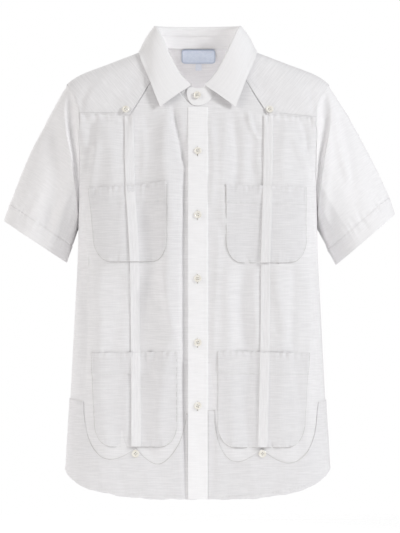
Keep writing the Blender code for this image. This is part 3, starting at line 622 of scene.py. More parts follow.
def make_mesh(name, points, faces, uv, material, smooth=None, sharp=None, painted_shadow=None):
    """A mesh from points in millimetres and quads (a triangle repeats its last corner)."""
    mesh = bpy.data.meshes.new(name)
    faces = np.asarray(faces)
    if faces.shape[1] == 4 and (faces[:, 2] == faces[:, 3]).any():
        listed = [f[:3].tolist() if f[2] == f[3] else f.tolist() for f in faces]
        mesh.from_pydata((np.asarray(points) * MM).tolist(), [], listed)
    else:
        size = faces.shape[1]
        mesh.vertices.add(len(points))
        mesh.vertices.foreach_set("co", (np.asarray(points) * MM).astype(np.float32).reshape(-1))
        mesh.loops.add(faces.size)
        mesh.loops.foreach_set("vertex_index", faces.astype(np.int32).reshape(-1))
        mesh.polygons.add(len(faces))
        mesh.polygons.foreach_set("loop_start", np.arange(0, faces.size, size, dtype=np.int32))
        mesh.update(calc_edges=True)
    corners = np.zeros(len(mesh.loops), np.int32)
    mesh.loops.foreach_get("vertex_index", corners)
    layer = mesh.uv_layers.new(name="cloth")
    places = (np.asarray(uv, float) * MM)[corners]
    layer.data.foreach_set("uv", places.astype(np.float32).reshape(-1))
    flags = np.ones(len(mesh.polygons), bool) if smooth is None else smooth
    mesh.polygons.foreach_set("use_smooth", flags)
    if sharp is not None:
        ends = np.zeros(len(mesh.edges) * 2, np.int32)
        mesh.edges.foreach_get("vertices", ends)
        ends = np.sort(ends.reshape(-1, 2), axis=1).astype(np.int64)
        marks = mesh.attributes.new("sharp_edge", "BOOLEAN", "EDGE")
        marks.data.foreach_set("value", np.isin(ends[:, 0] * len(points) + ends[:, 1], sharp))
    mesh.materials.append(material)
    if painted_shadow is not None:
        mesh.materials.append(painted_shadow[0])
        mesh.polygons.foreach_set("material_index", painted_shadow[1].astype(np.int32))
    mesh.validate()
    made = bpy.data.objects.new(name, mesh)
    bpy.context.scene.collection.objects.link(made)
    return made


def point_normals(points, faces):
    a, b, c, d = (points[faces[:, k]] for k in range(4))
    face_normals = np.cross(c - a, d - b)
    total = np.zeros_like(points)
    for k in range(4):
        np.add.at(total, faces[:, k], face_normals)
    return total / np.maximum(np.linalg.norm(total, axis=1), 1e-12)[:, None]


def shell(name, points, faces, normals, thick, uv, material, painted_shadow=None):
    """A thin closed sheet: an outer skin, an inner one a thickness below, and the rim.

    A second material, darker, paints a shadow line along a turned edge; with it comes, for each
    point, whether it lies in that part.
    """
    count = len(points)
    thick = np.broadcast_to(thick, (count,))[:, None]
    inner = points - normals * thick
    forward, backward = edge_keys(faces, count)
    open_edges = forward[~np.isin(forward, backward)]
    a, b = open_edges // count, open_edges % count
    rim = np.stack((b, a, a + count, b + count), 1)
    every = np.vstack((faces, faces[:, ::-1] + count, rim))
    smooth = np.arange(len(every)) < 2 * len(faces)
    low, high = np.minimum(a, b), np.maximum(a, b)
    total = 2 * count
    sharp = np.concatenate((low * total + high, (low + count) * total + high + count))
    if painted_shadow is not None:
        both = np.concatenate((painted_shadow[1], painted_shadow[1])).astype(float)
        painted_shadow = (painted_shadow[0], both[every].mean(1) > 0.5)
    return make_mesh(name, np.vstack((points, inner)), every, np.vstack((uv, uv)), material,
                     smooth, sharp, painted_shadow)


def grid_faces(rows, columns, wrap=False, flip=False):
    spans = columns if wrap else columns - 1
    r, c = np.meshgrid(np.arange(rows - 1), np.arange(spans), indexing="ij")
    right = (c + 1) % columns
    faces = np.stack((r * columns + c, r * columns + right,
                      (r + 1) * columns + right, (r + 1) * columns + c), -1).reshape(-1, 4)
    return faces[:, ::-1] if flip else faces


def grid_normals(points, wrap=False, flip=False):
    """Normals of a grid of points, facing out for columns that run right and rows that run up."""
    if wrap:
        padded = np.concatenate((points[:, -1:], points, points[:, :1]), axis=1)
        across = np.gradient(padded, axis=1)[:, 1:-1]
    else:
        across = np.gradient(points, axis=1)
    normals = np.cross(across, np.gradient(points, axis=0))
    normals /= np.maximum(np.linalg.norm(normals, axis=-1), 1e-12)[..., None]
    return -normals if flip else normals


def lines(start, end, step, near=(0.7, 1.5, 2.6)):
    """Mesh lines between two edges, closer together beside each edge."""
    way = 1 if end > start else -1
    inside = [start + way * n for n in near] + [end - way * n for n in near]
    low, high = start + way * near[-1], end - way * near[-1]
    count = max(int(abs(high - low) / step), 1)
    inside += list(low + (high - low) * np.arange(1, count) / count)
    return np.array(sorted([start, end] + inside, reverse=way < 0))


class Panel:
    """A grid of places on a front or the back, with what is needed to raise cloth from them."""

    def __init__(self, station, z, back=False):
        self.z = z
        self.bare, self.across = body(station, z, back)
        self.normals = grid_normals(self.bare, flip=back)
        self.relief = (back_relief if back else front_relief)(self.across, z)
        self.back = back

    def raised(self, height):
        return self.bare + self.normals * (self.relief + height)[..., None]


def cloth(name, panel, height, thick, material, painted_shadow=None):
    """A sheet whose outside is at a height over the panel, in place of its CAD node."""
    points = panel.raised(np.broadcast_to(height, panel.z.shape))
    rows, columns = panel.z.shape
    uv = np.stack((panel.across, panel.z), -1).reshape(-1, 2)
    made = shell(name, points.reshape(-1, 3), grid_faces(rows, columns, flip=panel.back),
                 panel.normals.reshape(-1, 3), np.broadcast_to(thick, panel.z.shape).reshape(-1),
                 uv, material, painted_shadow and (painted_shadow[0], painted_shadow[1].reshape(-1)))
    finish_sheet(made, name.removesuffix("_cloth"))


def finish_sheet(made, node_name, slot="cloth"):
    """A piece of cloth in place of its CAD node, which is hidden."""
    finish_piece(made, slot, node_name)


def finish_piece(made, slot, *nodes):
    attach(made, "root")
    if nodes:
        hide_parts(*nodes)


# ---------------------------------------------------------------- materials
def node(tree, kind, **settings):
    made = tree.nodes.new(kind)
    for key, value in settings.items():
        if hasattr(made, key):
            setattr(made, key, value)
        else:
            made.inputs[key.replace("_", " ")].default_value = value
    return made


def start_material(name, **inputs):
    """A new material, its nodes and its shader, with some of the shader's inputs set."""
    made = bpy.data.materials.new(name)
    made.use_nodes = True
    shader = made.node_tree.nodes["Principled BSDF"]
    for key, value in inputs.items():
        shader.inputs[key.replace("_", " ")].default_value = value
    return made, made.node_tree, shader


def colour_from(tree, shader, value, dark, light, low, high):
    """Colours a surface from dark to light as a value goes from low to high."""
    ramp = node(tree, "ShaderNodeValToRGB")
    for element, position, colour in zip(ramp.color_ramp.elements, (low, high), (dark, light)):
        element.position = position
        element.color = (*colour, 1)
    tree.links.new(value, ramp.inputs["Fac"])
    tree.links.new(ramp.outputs["Color"], shader.inputs["Base Color"])


def bump_from(tree, shader, height, strength, distance):
    bump = node(tree, "ShaderNodeBump", Strength=strength, Distance=distance)
    tree.links.new(height, bump.inputs["Height"])
    tree.links.new(bump.outputs["Normal"], shader.inputs["Normal"])


# Noise scales, per metre of cloth, and how far the bumps stand out, in metres.
THREAD_SCALE, SLUB_SCALE, MOTTLE_SCALE, WEAVE_SCALE = 600, 330, 90, 560
CLOTH_BUMP, SMOOTH_BUMP = 0.0006, 0.00008


def cloth_material(name, colour, shade, slub, turned=False):
    """Linen: slubs along the weft, a plain weave, and faint mottling."""
    made, tree, shader = start_material(name, Roughness=0.85, Sheen_Weight=0.12,
                                        Sheen_Roughness=0.5, Specular_IOR_Level=0.25)
    links = tree.links
    coords = node(tree, "ShaderNodeUVMap", uv_map="cloth")

    def layer(stretch, scale, detail=2.0):
        if turned:
            stretch = stretch[::-1]
        mapping = node(tree, "ShaderNodeMapping", Scale=(*stretch, 1))
        noise = node(tree, "ShaderNodeTexNoise", noise_dimensions="2D", Scale=scale,
                     Detail=detail)
        links.new(coords.outputs["UV"], mapping.inputs["Vector"])
        links.new(mapping.outputs["Vector"], noise.inputs["Vector"])
        return noise.outputs["Fac"]

    def mix(a, b, factor):
        made_mix = node(tree, "ShaderNodeMix", data_type="FLOAT")
        made_mix.inputs[0].default_value = factor
        links.new(a, made_mix.inputs[2])
        links.new(b, made_mix.inputs[3])
        return made_mix.outputs[0]

    def range_of(value, low, high):
        made_range = node(tree, "ShaderNodeMapRange", From_Min=low, From_Max=high)
        links.new(value, made_range.inputs["Value"])
        return made_range.outputs["Result"]

    threads = range_of(layer((0.07, 1.0), THREAD_SCALE), 0.36, 0.64)
    slubs = range_of(layer((0.07, 1.0), SLUB_SCALE), 0.46, 0.70)
    warp = range_of(layer((1.0, 0.08), THREAD_SCALE), 0.36, 0.64)
    rows = mix(mix(threads, slubs, 0.42), warp, 0.16)
    pattern = mix(rows, layer((0.5, 1.0), MOTTLE_SCALE, 4.0), 0.2)
    colour_from(tree, shader, pattern, [c * shade for c in colour], colour, 0.15, 0.85)
    waves = []
    for way in ("X", "Y"):
        wave = node(tree, "ShaderNodeTexWave", bands_direction=way, Scale=WEAVE_SCALE,
                    Distortion=1.2, Detail=1.0)
        links.new(coords.outputs["UV"], wave.inputs["Vector"])
        waves.append(wave.outputs["Fac"])
    bump_from(tree, shader, mix(rows, mix(*waves, 0.5), 0.25), slub, CLOTH_BUMP)
    return made


def smooth_material(name, colour, shade, roughness, scale, coat=0.0):
    """A smooth material with a little clouding, for buttons, thread and the label."""
    made, tree, shader = start_material(name, Roughness=roughness, Coat_Weight=coat)
    coords = node(tree, "ShaderNodeTexCoord")
    noise = node(tree, "ShaderNodeTexNoise", Scale=scale, Detail=3.0)
    tree.links.new(coords.outputs["Object"], noise.inputs["Vector"])
    dark = [c * s for c, s in zip(colour, shade)]
    colour_from(tree, shader, noise.outputs["Fac"], dark, colour, 0.3, 0.7)
    bump_from(tree, shader, noise.outputs["Fac"], 0.4, SMOOTH_BUMP)
    return made


SINGLE = cloth_material("linen_single", (0.866, 0.854, 0.862), 0.915, slub=0.2)
POCKET_CLOTH = cloth_material("linen_pocket", (0.826, 0.814, 0.823), 0.915, slub=0.2)
# the body's linen made lighter and with fainter slubs for the sleeves: the extra lightness is
# painted light
SLEEVE_CLOTH_PAINTED_LIGHT = cloth_material("linen_sleeve_painted_light", (0.925, 0.912, 0.919), 0.94, slub=0.12)
# a darker linen for a thin line along turned edges: a painted shadow of the edge
EDGE = cloth_material("linen_edge_painted_shadow", (0.66, 0.645, 0.64), 0.94, slub=0.1)
PLEAT = cloth_material("linen_pleat", (0.885, 0.872, 0.878), 0.92, slub=0.22, turned=True)
YOKE = cloth_material("linen_yoke", (0.885, 0.872, 0.880), 0.91, slub=0.25)
DOUBLE = cloth_material("linen_double", (0.955, 0.944, 0.951), 0.95, slub=0.18)
COLLAR = cloth_material("linen_fused", (0.920, 0.909, 0.914), 0.96, slub=0.12)
THREAD = smooth_material("thread", (0.88, 0.875, 0.86), (0.94, 0.94, 0.93), 0.6, 900)
BUTTON = smooth_material("button_shell", (0.94, 0.92, 0.87), (0.90, 0.87, 0.81), 0.28, 180,
                         coat=0.3)
# dark brown for a button's holes and the buttonholes' slits: painted shade in openings that the
# meshes do not cut
BUTTON_HOLE_PAINTED_SHADE = smooth_material("button_hole_painted_shade", (0.30, 0.26, 0.20), (0.9, 0.9, 0.9), 0.6, 500)
LABEL_CLOTH = smooth_material("label_satin", (0.66, 0.72, 0.83), (0.90, 0.92, 0.95), 0.4, 260)
TAB_CLOTH = smooth_material("tab_satin", (0.78, 0.81, 0.88), (0.94, 0.95, 0.96), 0.4, 260)
LABEL_EDGE = smooth_material("label_border", (0.50, 0.56, 0.68), (0.93, 0.94, 0.96), 0.5, 500)


# ---------------------------------------------------------------- stitches
class Seams:
    """Rows of thread, each stitch a small raised lozenge along the cloth."""

    def __init__(self, name):
        self.name, self.points, self.faces = name, [], []

    def row(self, path, normals):
        """Stitches along a path of points, with the cloth's normals there."""
        path, normals = np.asarray(path, float), np.asarray(normals, float)
        run = np.concatenate([[0], np.cumsum(np.linalg.norm(np.diff(path, axis=0), axis=1))])
        count = max(int(run[-1] / STITCH_PITCH), 1)
        middles = (np.arange(count) + 0.5) * run[-1] / count

        def at(values, runs):
            return np.stack([np.interp(runs, run, values[:, k]) for k in range(3)], 1)

        centre = at(path, middles)
        way = at(path, middles + 0.4) - at(path, middles - 0.4)
        way /= np.maximum(np.linalg.norm(way, axis=1), 1e-9)[:, None]
        up = at(normals, middles)
        up /= np.linalg.norm(up, axis=1)[:, None]
        side = np.cross(way, up)
        ahead, aside = way * STITCH_LENGTH / 2, side * STITCH_WIDTH / 2
        corners = [centre - ahead - up * STITCH_SINK, centre + ahead - up * STITCH_SINK,
                   centre - aside, centre + aside, centre + up * STITCH_RISE]
        start = sum(len(p) for p in self.points)
        self.points.append(np.stack(corners, 1).reshape(-1, 3))
        base = start + 5 * np.arange(count)[:, None]
        tris = np.array(((0, 3, 4), (3, 1, 4), (1, 2, 4), (2, 0, 4), (0, 2, 1), (0, 1, 3)))
        self.faces.append((base[:, :, None] + tris[None]).reshape(-1, 3))

    def finish(self):
        points, faces = np.vstack(self.points), np.vstack(self.faces)
        made = make_mesh(self.name, points, faces, points[:, [0, 2]], THREAD)
        finish_piece(made, "cloth")


def panel_path(station, z, height, back=False):
    """A path on a panel at a height, as points and normals."""
    station, z = np.broadcast_arrays(np.asarray(station, float), np.asarray(z, float))
    bare, across = body(station, z, back)
    # past FLAT a station is a share of the way round, not millimetres
    aside = np.where(np.abs(station) > FLAT, 0.01, 1.0) * PATH_STEP
    right = body(station + aside, z, back)[0] - body(station - aside, z, back)[0]
    up = body(station, z + PATH_STEP, back)[0] - body(station, z - PATH_STEP, back)[0]
    normals = np.cross(right, up) * (-1 if back else 1)
    normals /= np.linalg.norm(normals, axis=1)[:, None]
    relief = (back_relief if back else front_relief)(across, z)
    return bare + normals * (relief + height)[:, None], normals


# ---------------------------------------------------------------- fronts and back
TUCK = (0.3, 1.0)           # rows of a tucked edge, as shares of its reach
TUCK_REACH, TAB_TUCK_REACH, NECK_TUCK_REACH = 4.5, 8.0, 2.5
SINK = 0.9                  # how far below the panel's face a tucked edge lies


def tucked(top, reach):
    """Rows of heights above a top edge that run on under the next piece."""
    return np.stack([top + share * reach for share in TUCK])


def sunk(z, top):
    """How far a panel has sunk at a height above its top edge."""
    return SINK * smooth_step((z - top) / 1.2 + 0.2)


def make_fronts(seams):
    for name, side in (("front_left", -1), ("front_right", 1)):
        meet = FRONT_MEET + side * GAP / 2
        tab = side * YOKE_FRONT[side][0]
        inner = np.arange(round(meet) + 3 * side, side * FLAT, 2.2 * side)
        sides = side * (FLAT + np.linspace(0, 1, 18))
        station = np.array(sorted({meet, tab, *[s for s in inner if abs(s - tab) > 1], *sides}))
        top, foot = front_top(station, side), hem_at(station)
        share = lines(0, 1, 0.0042, (0.0015, 0.003, 0.0055))
        z = foot + (top - foot) * share[:, None]
        reach = np.where(np.abs(station) < abs(tab), TAB_TUCK_REACH, TUCK_REACH)
        reach = np.where(np.abs(station) < NECK_HALF + 2, NECK_TUCK_REACH, reach)
        z = np.vstack((z, tucked(top, reach)))
        panel = Panel(np.broadcast_to(station, z.shape), z)
        panel.relief *= np.where(np.abs(station) > NECK_HALF, smooth_step((top + 0.5 - z) / 3), 1)
        near_hem = np.exp(-((z - foot) / 5) ** 4)
        near_side = np.clip((np.abs(np.broadcast_to(station, z.shape)) - FLAT - 0.9) / 0.1, 0, 1)
        height = PANEL + 0.3 * near_hem - 0.5 * near_side ** 2
        height = height - sunk(z, top)
        cloth(f"{name}_cloth", panel, height, THIN + 0.6 * near_hem, SINGLE)
        seams.row(*panel_path(side * (FLAT + 0.955), SIDE_STITCHES, PANEL))


def make_back(seams):
    station = np.concatenate((-FLAT - np.linspace(1, 0, 18), np.arange(-184, 185, 3.6),
                              FLAT + np.linspace(0, 1, 18)))
    foot = hem_at(station, True)
    share = lines(0, 1, 0.0055, (0.0015, 0.003, 0.0055))
    top = YOKE_BACK_Z - GAP
    z = foot + (top - foot) * share[:, None]
    z = np.vstack((z, tucked(np.full(len(station), top), TUCK_REACH)))
    panel = Panel(np.broadcast_to(station, z.shape), z, True)
    panel.relief *= smooth_step((top + 0.5 - z) / 3)
    near_hem = np.exp(-((z - foot) / 9) ** 4)
    height = PANEL + 0.3 * near_hem - sunk(z, top)
    cloth("back_cloth", panel, height, THIN + 0.5 * near_hem, SINGLE)
    edge = np.arange(-FLAT - 0.9, FLAT + 0.9, 2.0)
    seams.row(*panel_path(edge, hem_at(edge, True) + 8, PANEL + 0.2, True))
    for side in (-1, 1):
        seams.row(*panel_path(side * (FLAT + 0.95), SIDE_STITCHES, PANEL, True))


def edge_roll(distance, height, reach):
    """Height of a folded edge: low at the edge, and full a little way in."""
    return height * (1 - np.clip(1 - distance / reach, 0, 1) ** 2.2)


def make_placket(seams):
    station = lines(PLACKET_LEFT, PLACKET_RIGHT, 2.2, (0.5, 1.1, 2.0, 3.4))
    z = np.linspace(float(hem_at(np.array([0.0]))[0]), PLACKET_TOP, 300)[:, None]
    station, z = np.broadcast_arrays(station, z)
    panel = Panel(station, z)
    panel.relief = placket_relief(panel.across, z)
    left, right = station - PLACKET_LEFT, PLACKET_RIGHT - station
    height = STRIP + edge_roll(left, 1.0, 1.6) * edge_roll(right, 1.0, 2.6)
    height = height - 0.14 * np.exp(-((np.minimum(left, right) - 5.0) / 0.8) ** 2)
    cloth("placket_cloth", panel, height, 1.1, DOUBLE)
    levels = np.arange(PLACKET_TOP - 2, -757, -2.5)
    for x in (PLACKET_LEFT + 5.0, PLACKET_RIGHT - 5.0):
        seams.row(*on_placket(np.full(len(levels), x), levels, STRIP + 0.9))


def on_placket(x, z, height):
    """Points on the placket at a height, and the normals there."""
    points, normals = panel_path(x, z, height)
    lift = placket_relief(x, z) - front_relief(x, z)
    return points + normals * lift[:, None], normals


def placket_relief(across, z):
    """The placket stays straighter than the fronts, and dips a little at each button."""
    total = 0.3 * front_relief(across, z) * smooth_step((across - PLACKET_LEFT) / 12)
    total += 0.75 - 0.55 * smooth_step((across + 6) / 20)
    total += creases(across, z, PLACKET_CREASES)
    for number, button_z in enumerate(PLACKET_BUTTON_Z):
        total -= 0.5 * np.exp(-(across / 9) ** 2 - ((z - button_z) / 9) ** 2)
        sag = np.exp(-((z - button_z + 15 + 3 * (number % 2)) / 6) ** 2)
        total -= 0.7 * sag * np.cos(across / 14)
        total += 0.5 * np.exp(-((z - button_z + 34) / 9) ** 2) * np.cos((across - 6) / 16)
    return total


def make_pleats(seams):
    for name, side in (("pleat_left", -1), ("pleat_right", 1)):
        top = min(float(yoke_edge(pleat_line[side](-105) + o, side)) for o in (-8, 0, 8)) - 2 * GAP
        z = np.linspace(PLEAT_FOOT, top, 240)
        strip(name, side, z, STRIP, seams)


def strip(name, side, z, base, seams):
    """A stitched-down pleat: a narrow strip with an open left edge and two tucks."""
    offset = np.array((-8, -7.6, -7, -6, -4.5, -3.2, -2.7, -2.2, -1,
                       0.6, 2.0, 2.6, 3.2, 4.5, 6, 7, 7.6, 8))
    middle = pleat_line[side](z)
    station = middle[:, None] + offset
    panel = Panel(station, np.broadcast_to(z[:, None], station.shape))
    left, right = offset + PLEAT_WIDTH / 2, PLEAT_WIDTH / 2 - offset
    height = 1.7 * (1 - 0.5 * np.clip(1 - left / 0.6, 0, 1) ** 3) - 0.9 * np.clip(left / 16, 0, 1)
    height = height * (1 - 0.75 * np.clip(1 - right / 2.0, 0, 1) ** 2)
    for tuck in (-2.7, 2.6):
        height = height - 0.16 * np.exp(-((offset - tuck) / 0.5) ** 2)
    height = height + 0.12 * np.sin(z[:, None] / 9.0 + side) * np.clip(1 - left / 8, 0, 1)
    cloth(f"{name}_cloth", panel, base + np.broadcast_to(height, station.shape), 0.7, PLEAT)
    for at in (-6.6, 6.6):
        seams.row(*panel_path(middle + at, z, base + 0.85 - 0.02 * (at + 8)))


# ---------------------------------------------------------------- pockets
def pocket_edge(row, left):
    _, left_x, right_x, left_drift, right_drift, top_left, top_right, foot, wide, high, _ = row
    start, drift, top, way = ((left_x, left_drift, top_left, 1) if left
                              else (right_x, right_drift, top_right, -1))

    def at(z):
        into = np.clip((foot + high - z) / high, 0, 1)
        return start + drift * (top - z) / (top - foot) + way * wide * (1 - np.sqrt(1 - into ** 2))
    return at


def outline_distance(x, z, outline):
    """Distance of places to an outline given as closely spaced points."""
    flat = np.stack((x, z), -1).reshape(-1, 2)
    best = np.full(len(flat), 1e9)
    for start in range(0, len(outline), 60):
        part = outline[start:start + 60]
        gap = np.hypot(flat[:, None, 0] - part[None, :, 0], flat[:, None, 1] - part[None, :, 1])
        best = np.minimum(best, gap.min(1))
    return best.reshape(x.shape)


def inset(outline, toward):
    """The line of an edge's stitches, inside an outline; toward points in at each place."""
    ways = np.gradient(outline, axis=0)
    inward = np.stack((-ways[:, 1], ways[:, 0]), 1)
    inward /= np.maximum(np.linalg.norm(inward, axis=1), 1e-9)[:, None]
    inward *= np.where((inward * toward).sum(1) < 0, -1, 1)[:, None]
    return outline + inward * STITCH_INSET


def over_pleat(x, z, side, half):
    """How far the pleat beneath lifts a pocket, as a share of a pleat's thickness."""
    return np.exp(-((x - pleat_line[side](z)) / half) ** 6)


def make_pockets(seams):
    for number, row in enumerate(POCKETS):
        name, left, right, _, _, top_left, top_right, foot, wide, high, band = row
        side = -1 if left < 0 else 1
        left_at, right_at = pocket_edge(row, True), pocket_edge(row, False)
        across = lines(0, 1, 1.6 / (right - left), (0.004, 0.009, 0.017))
        angles = np.linspace(math.pi / 2, 0, 22)
        top = (top_left + top_right) / 2
        levels = np.concatenate((foot + high * (1 - np.sin(angles))[:-1],
                                 np.arange(foot + high, top - 6, 2.2),
                                 top - band + np.array((-0.7, -0.3, 0, 0.3)),
                                 top - np.array((5, 4, 3, 2, 1.2, 0.5, 0))))
        levels = np.unique(levels)
        levels = levels[np.concatenate(([True], np.diff(levels) > ROW_GAP))]
        tilt = (top_right - top_left) / (right - left)
        begin, end = left_at(levels)[:, None], right_at(levels)[:, None]
        x = begin + (end - begin) * across
        z = np.broadcast_to(levels[:, None], x.shape)
        z = z + tilt * (x - (left + right) / 2) * np.clip((z - foot) / (top - foot), 0, 1)
        panel = Panel(x, z)

        side_z = np.linspace(top, foot + high, 120)
        turn = np.linspace(0, math.pi / 2, 60)
        corner_z = foot + high * (1 - np.sin(turn))
        path_z = np.concatenate((side_z, corner_z))
        left_line = np.stack((left_at(path_z), path_z), 1)
        right_line = np.stack((right_at(path_z), path_z), 1)[::-1]
        bottom_x = np.arange(left_line[-1, 0], right_line[0, 0], 1.5)
        bottom = np.stack((bottom_x, np.full(len(bottom_x), float(foot))), 1)
        outline = np.vstack((left_line, bottom, right_line))
        away = outline_distance(x, z, outline)

        below_top = top + tilt * (x - (left + right) / 2) - z
        in_band = fade_out((below_top - band) / 0.5)
        height = STRIP + POCKET_PROUD + over_pleat(x, z, side, 8.5)
        height += edge_roll(away, EDGE_ROLL, EDGE_REACH)
        height += 0.4 * in_band - 0.2 * np.exp(-((below_top - band - 0.8) / 0.9) ** 2)
        height -= 0.28 * np.exp(-((away - 3.4) / 0.8) ** 2)
        # the top hangs open a little, and its ends are bar-tacked strips
        share = np.clip((x - left) / (right - left), 0, 1)
        height += 0.9 * np.exp(-(below_top / 14) ** 2) * np.sin(np.pi * share) ** 0.7
        ends = np.minimum(x - left_at(z), right_at(z) - x)
        tabs = np.exp(-((ends - 2.2) / 2.5) ** 8) * in_band
        height += 0.5 * tabs
        # puckers along the stitch lines
        within = smooth_step(ends / 7)
        height += wrinkles(x, np.maximum(below_top, 0), 9, 11, 2.4, 31 + number) * within
        height += wrinkles(x, np.maximum(z - foot, 0), 8, 9, 1.8, 41 + number) * within
        height += wrinkles(z, np.maximum(ends, 0), 14, 8, 0.8, 45 + number)
        height += wrinkles(x, np.abs(below_top - band), 11, 8, 0.6, 51 + number) * within
        height += 0.5 * ripple(x * 1.7, z, 61 + number, 90, 2.2)
        thick = 1.4 + 0.3 * in_band
        # the strip nearest the outline is darker cloth: a painted shadow line along the turned edge
        cloth(f"{name}_cloth", panel, height, thick, POCKET_CLOTH,
              (EDGE, away < EDGE_SHADE))

        centre = np.array(((left + right) / 2, (top + foot) / 2))
        seam_x, seam_z = inset(outline, centre - outline).T
        seams.row(*panel_path(seam_x, seam_z, STRIP + 1.62 + over_pleat(seam_x, seam_z, side, 7.5)))
        band_x = np.arange(float(left_at(top - band)) + 3, float(right_at(top - band)) - 3, 2.0)
        band_z = top - band + tilt * (band_x - (left + right) / 2) * (1 - band / (top - foot))
        seams.row(*panel_path(band_x, band_z, STRIP + 1.85 + over_pleat(band_x, band_z, side, 7.5)))
        for edge_at, way in ((left_at, 1), (right_at, -1)):
            tack_z = np.arange(top - 1.5, top - band, -1.5)
            seams.row(*panel_path(edge_at(tack_z) + way * 5.0, tack_z, STRIP + 2.35))

        pleat_top = float(top + tilt * (pleat_line[side](top) - (left + right) / 2)) - 0.6
        z = np.linspace(foot + 1, pleat_top, 110)
        strip(name.replace("pocket", "pocket_pleat"), side, z, STRIP + 2.6, seams)


# ---------------------------------------------------------------- hem bands
def make_hem_bands(seams):
    for name, side in (("hem_band_left", -1), ("hem_band_right", 1)):
        start = PLACKET_LEFT - GAP if side < 0 else PLACKET_RIGHT + GAP
        xs = np.arange(start, side * 216, side * 0.05)
        top = np.array([scallop(float(x), side) for x in xs])
        run = np.concatenate([[0], np.cumsum(np.hypot(np.diff(xs), np.diff(top)))])
        picks = np.interp(np.arange(0, run[-1], 2.6), run, xs)
        walls = [row[3] for row in SCALLOPS if row[0] == side]
        picks = np.array([x for x in picks if abs(x) < FLAT - 1])
        outer_wall = [station_at(w, -640) for w in walls if abs(w) > FLAT]
        tight = [side * (FLAT + share) for share in np.linspace(0, 1, 26)]
        near = [w + side * d for w in outer_wall for d in (-0.03, -0.015, -0.006, -0.001, 0.001)]
        station = np.array(sorted({start, side * FLAT, *picks.tolist(), *tight, *near,
                                   *[w + o for w in walls if abs(w) < FLAT
                                     for o in (-0.3, 0.0, 0.3)]}))
        station = station[np.abs(station) <= FLAT + 1]
        top = np.full(len(station), -650.0)
        for _ in range(5):
            x = body(station, top)[0][:, 0]
            top = np.array([scallop(float(v), side) for v in x])
        foot = hem_at(station)
        share = lines(0, 1, 0.025, (0.006, 0.012, 0.022))
        z = foot + (top - foot) * share[:, None]
        stations = np.broadcast_to(station, z.shape)
        panel = Panel(stations, z)
        outline_x = np.arange(start, side * FLAT, side * 0.4)
        outline_z = np.array([scallop(float(v), side) for v in outline_x])
        dense = np.stack((outline_x, outline_z), 1)
        filled = [dense[0]]
        for a, b in zip(dense[:-1], dense[1:]):
            count = max(int(np.hypot(*(b - a)) / 1.5), 1)
            filled += [a + (b - a) * (k + 1) / count for k in range(count)]
        outline = np.array(filled)
        away = outline_distance(panel.bare[..., 0], z, outline)
        height = STRIP + BAND_PROUD + edge_roll(away, EDGE_ROLL, EDGE_REACH)
        height -= 0.25 * np.exp(-((away - 3.0) / 0.9) ** 2)
        up = z - foot
        height += wrinkles(panel.across, up, 10, 11, 0.9, 71 + side)
        height += wrinkles(panel.across, away, 13, 9, 0.7, 75 + side)
        height += 0.3 * np.exp(-(up / 6) ** 4) - 0.25 * np.exp(-((up - 7) / 1.0) ** 2)
        # the strip nearest the scalloped outline is darker cloth: a painted shadow line along the
        # turned edge
        cloth(f"{name}_cloth", panel, height, 1.2, POCKET_CLOTH,
              (EDGE, away < EDGE_SHADE))
        seam = inset(outline, (0, -1))
        seam = seam[(np.abs(seam[:, 0]) < FLAT) & (np.abs(seam[:, 0] - start) > 1.5)]
        seams.row(*panel_path(*seam.T, STRIP + 1.1))
        edge = np.arange(start + side * 2, side * (FLAT - 1), side * 2.0)
        seams.row(*panel_path(edge, hem_at(edge) + 6, STRIP + 1.35))


# ---------------------------------------------------------------- yoke
def yoke_points(side, f, q, back):
    """Points of a shoulder, for f from the neck to the armhole and q from the ridge down."""
    f, q = np.broadcast_arrays(np.asarray(f, float), np.asarray(q, float))
    x = NECK_HALF + (SHOULDER_TIP - NECK_HALF) * f
    for _ in range(12):
        top = shoulder(x)
        low = YOKE_BACK_Z if back else yoke_edge(x, side)
        z = top - q * q * (top - low)
        if back:
            inner = NECK_HALF
        else:
            tab_x, tab_z = YOKE_FRONT[side][:2]
            inner = np.maximum(neck_x(z), tab_x - (z - tab_z) / YOKE_SLANT)
        outer = np.abs(body(FLAT + 1 + 0 * z, np.minimum(z, ARMHOLE[0][0]), back)[0][..., 0])
        x = np.where(q == 0, x, inner + (outer - inner) * f)
    y = np.where(q == 0, 0.0, bare_depth(side * x, z, back))
    return np.stack((side * x, y if back else -y, z), -1)


class Welded:
    """Grids joined where they share points."""

    def __init__(self):
        self.index, self.points, self.uv, self.faces = {}, [], [], []

    def add(self, grid, uv):
        rows, columns = grid.shape[:2]
        ids = np.zeros((rows, columns), int)
        for r in range(rows):
            for c in range(columns):
                key = tuple(np.round(grid[r, c], 2) + 0.0)
                if key not in self.index:
                    self.index[key] = len(self.points)
                    self.points.append(grid[r, c])
                    self.uv.append(uv[r, c])
                ids[r, c] = self.index[key]
        for quad in grid_faces(rows, columns):
            face = ids.reshape(-1)[quad]
            if len(set(face.tolist())) == 4:
                self.faces.append(face)
            elif len(set(face.tolist())) == 3:
                kept = list(dict.fromkeys(face.tolist()))
                self.faces.append(np.array(kept + [kept[-1]]))


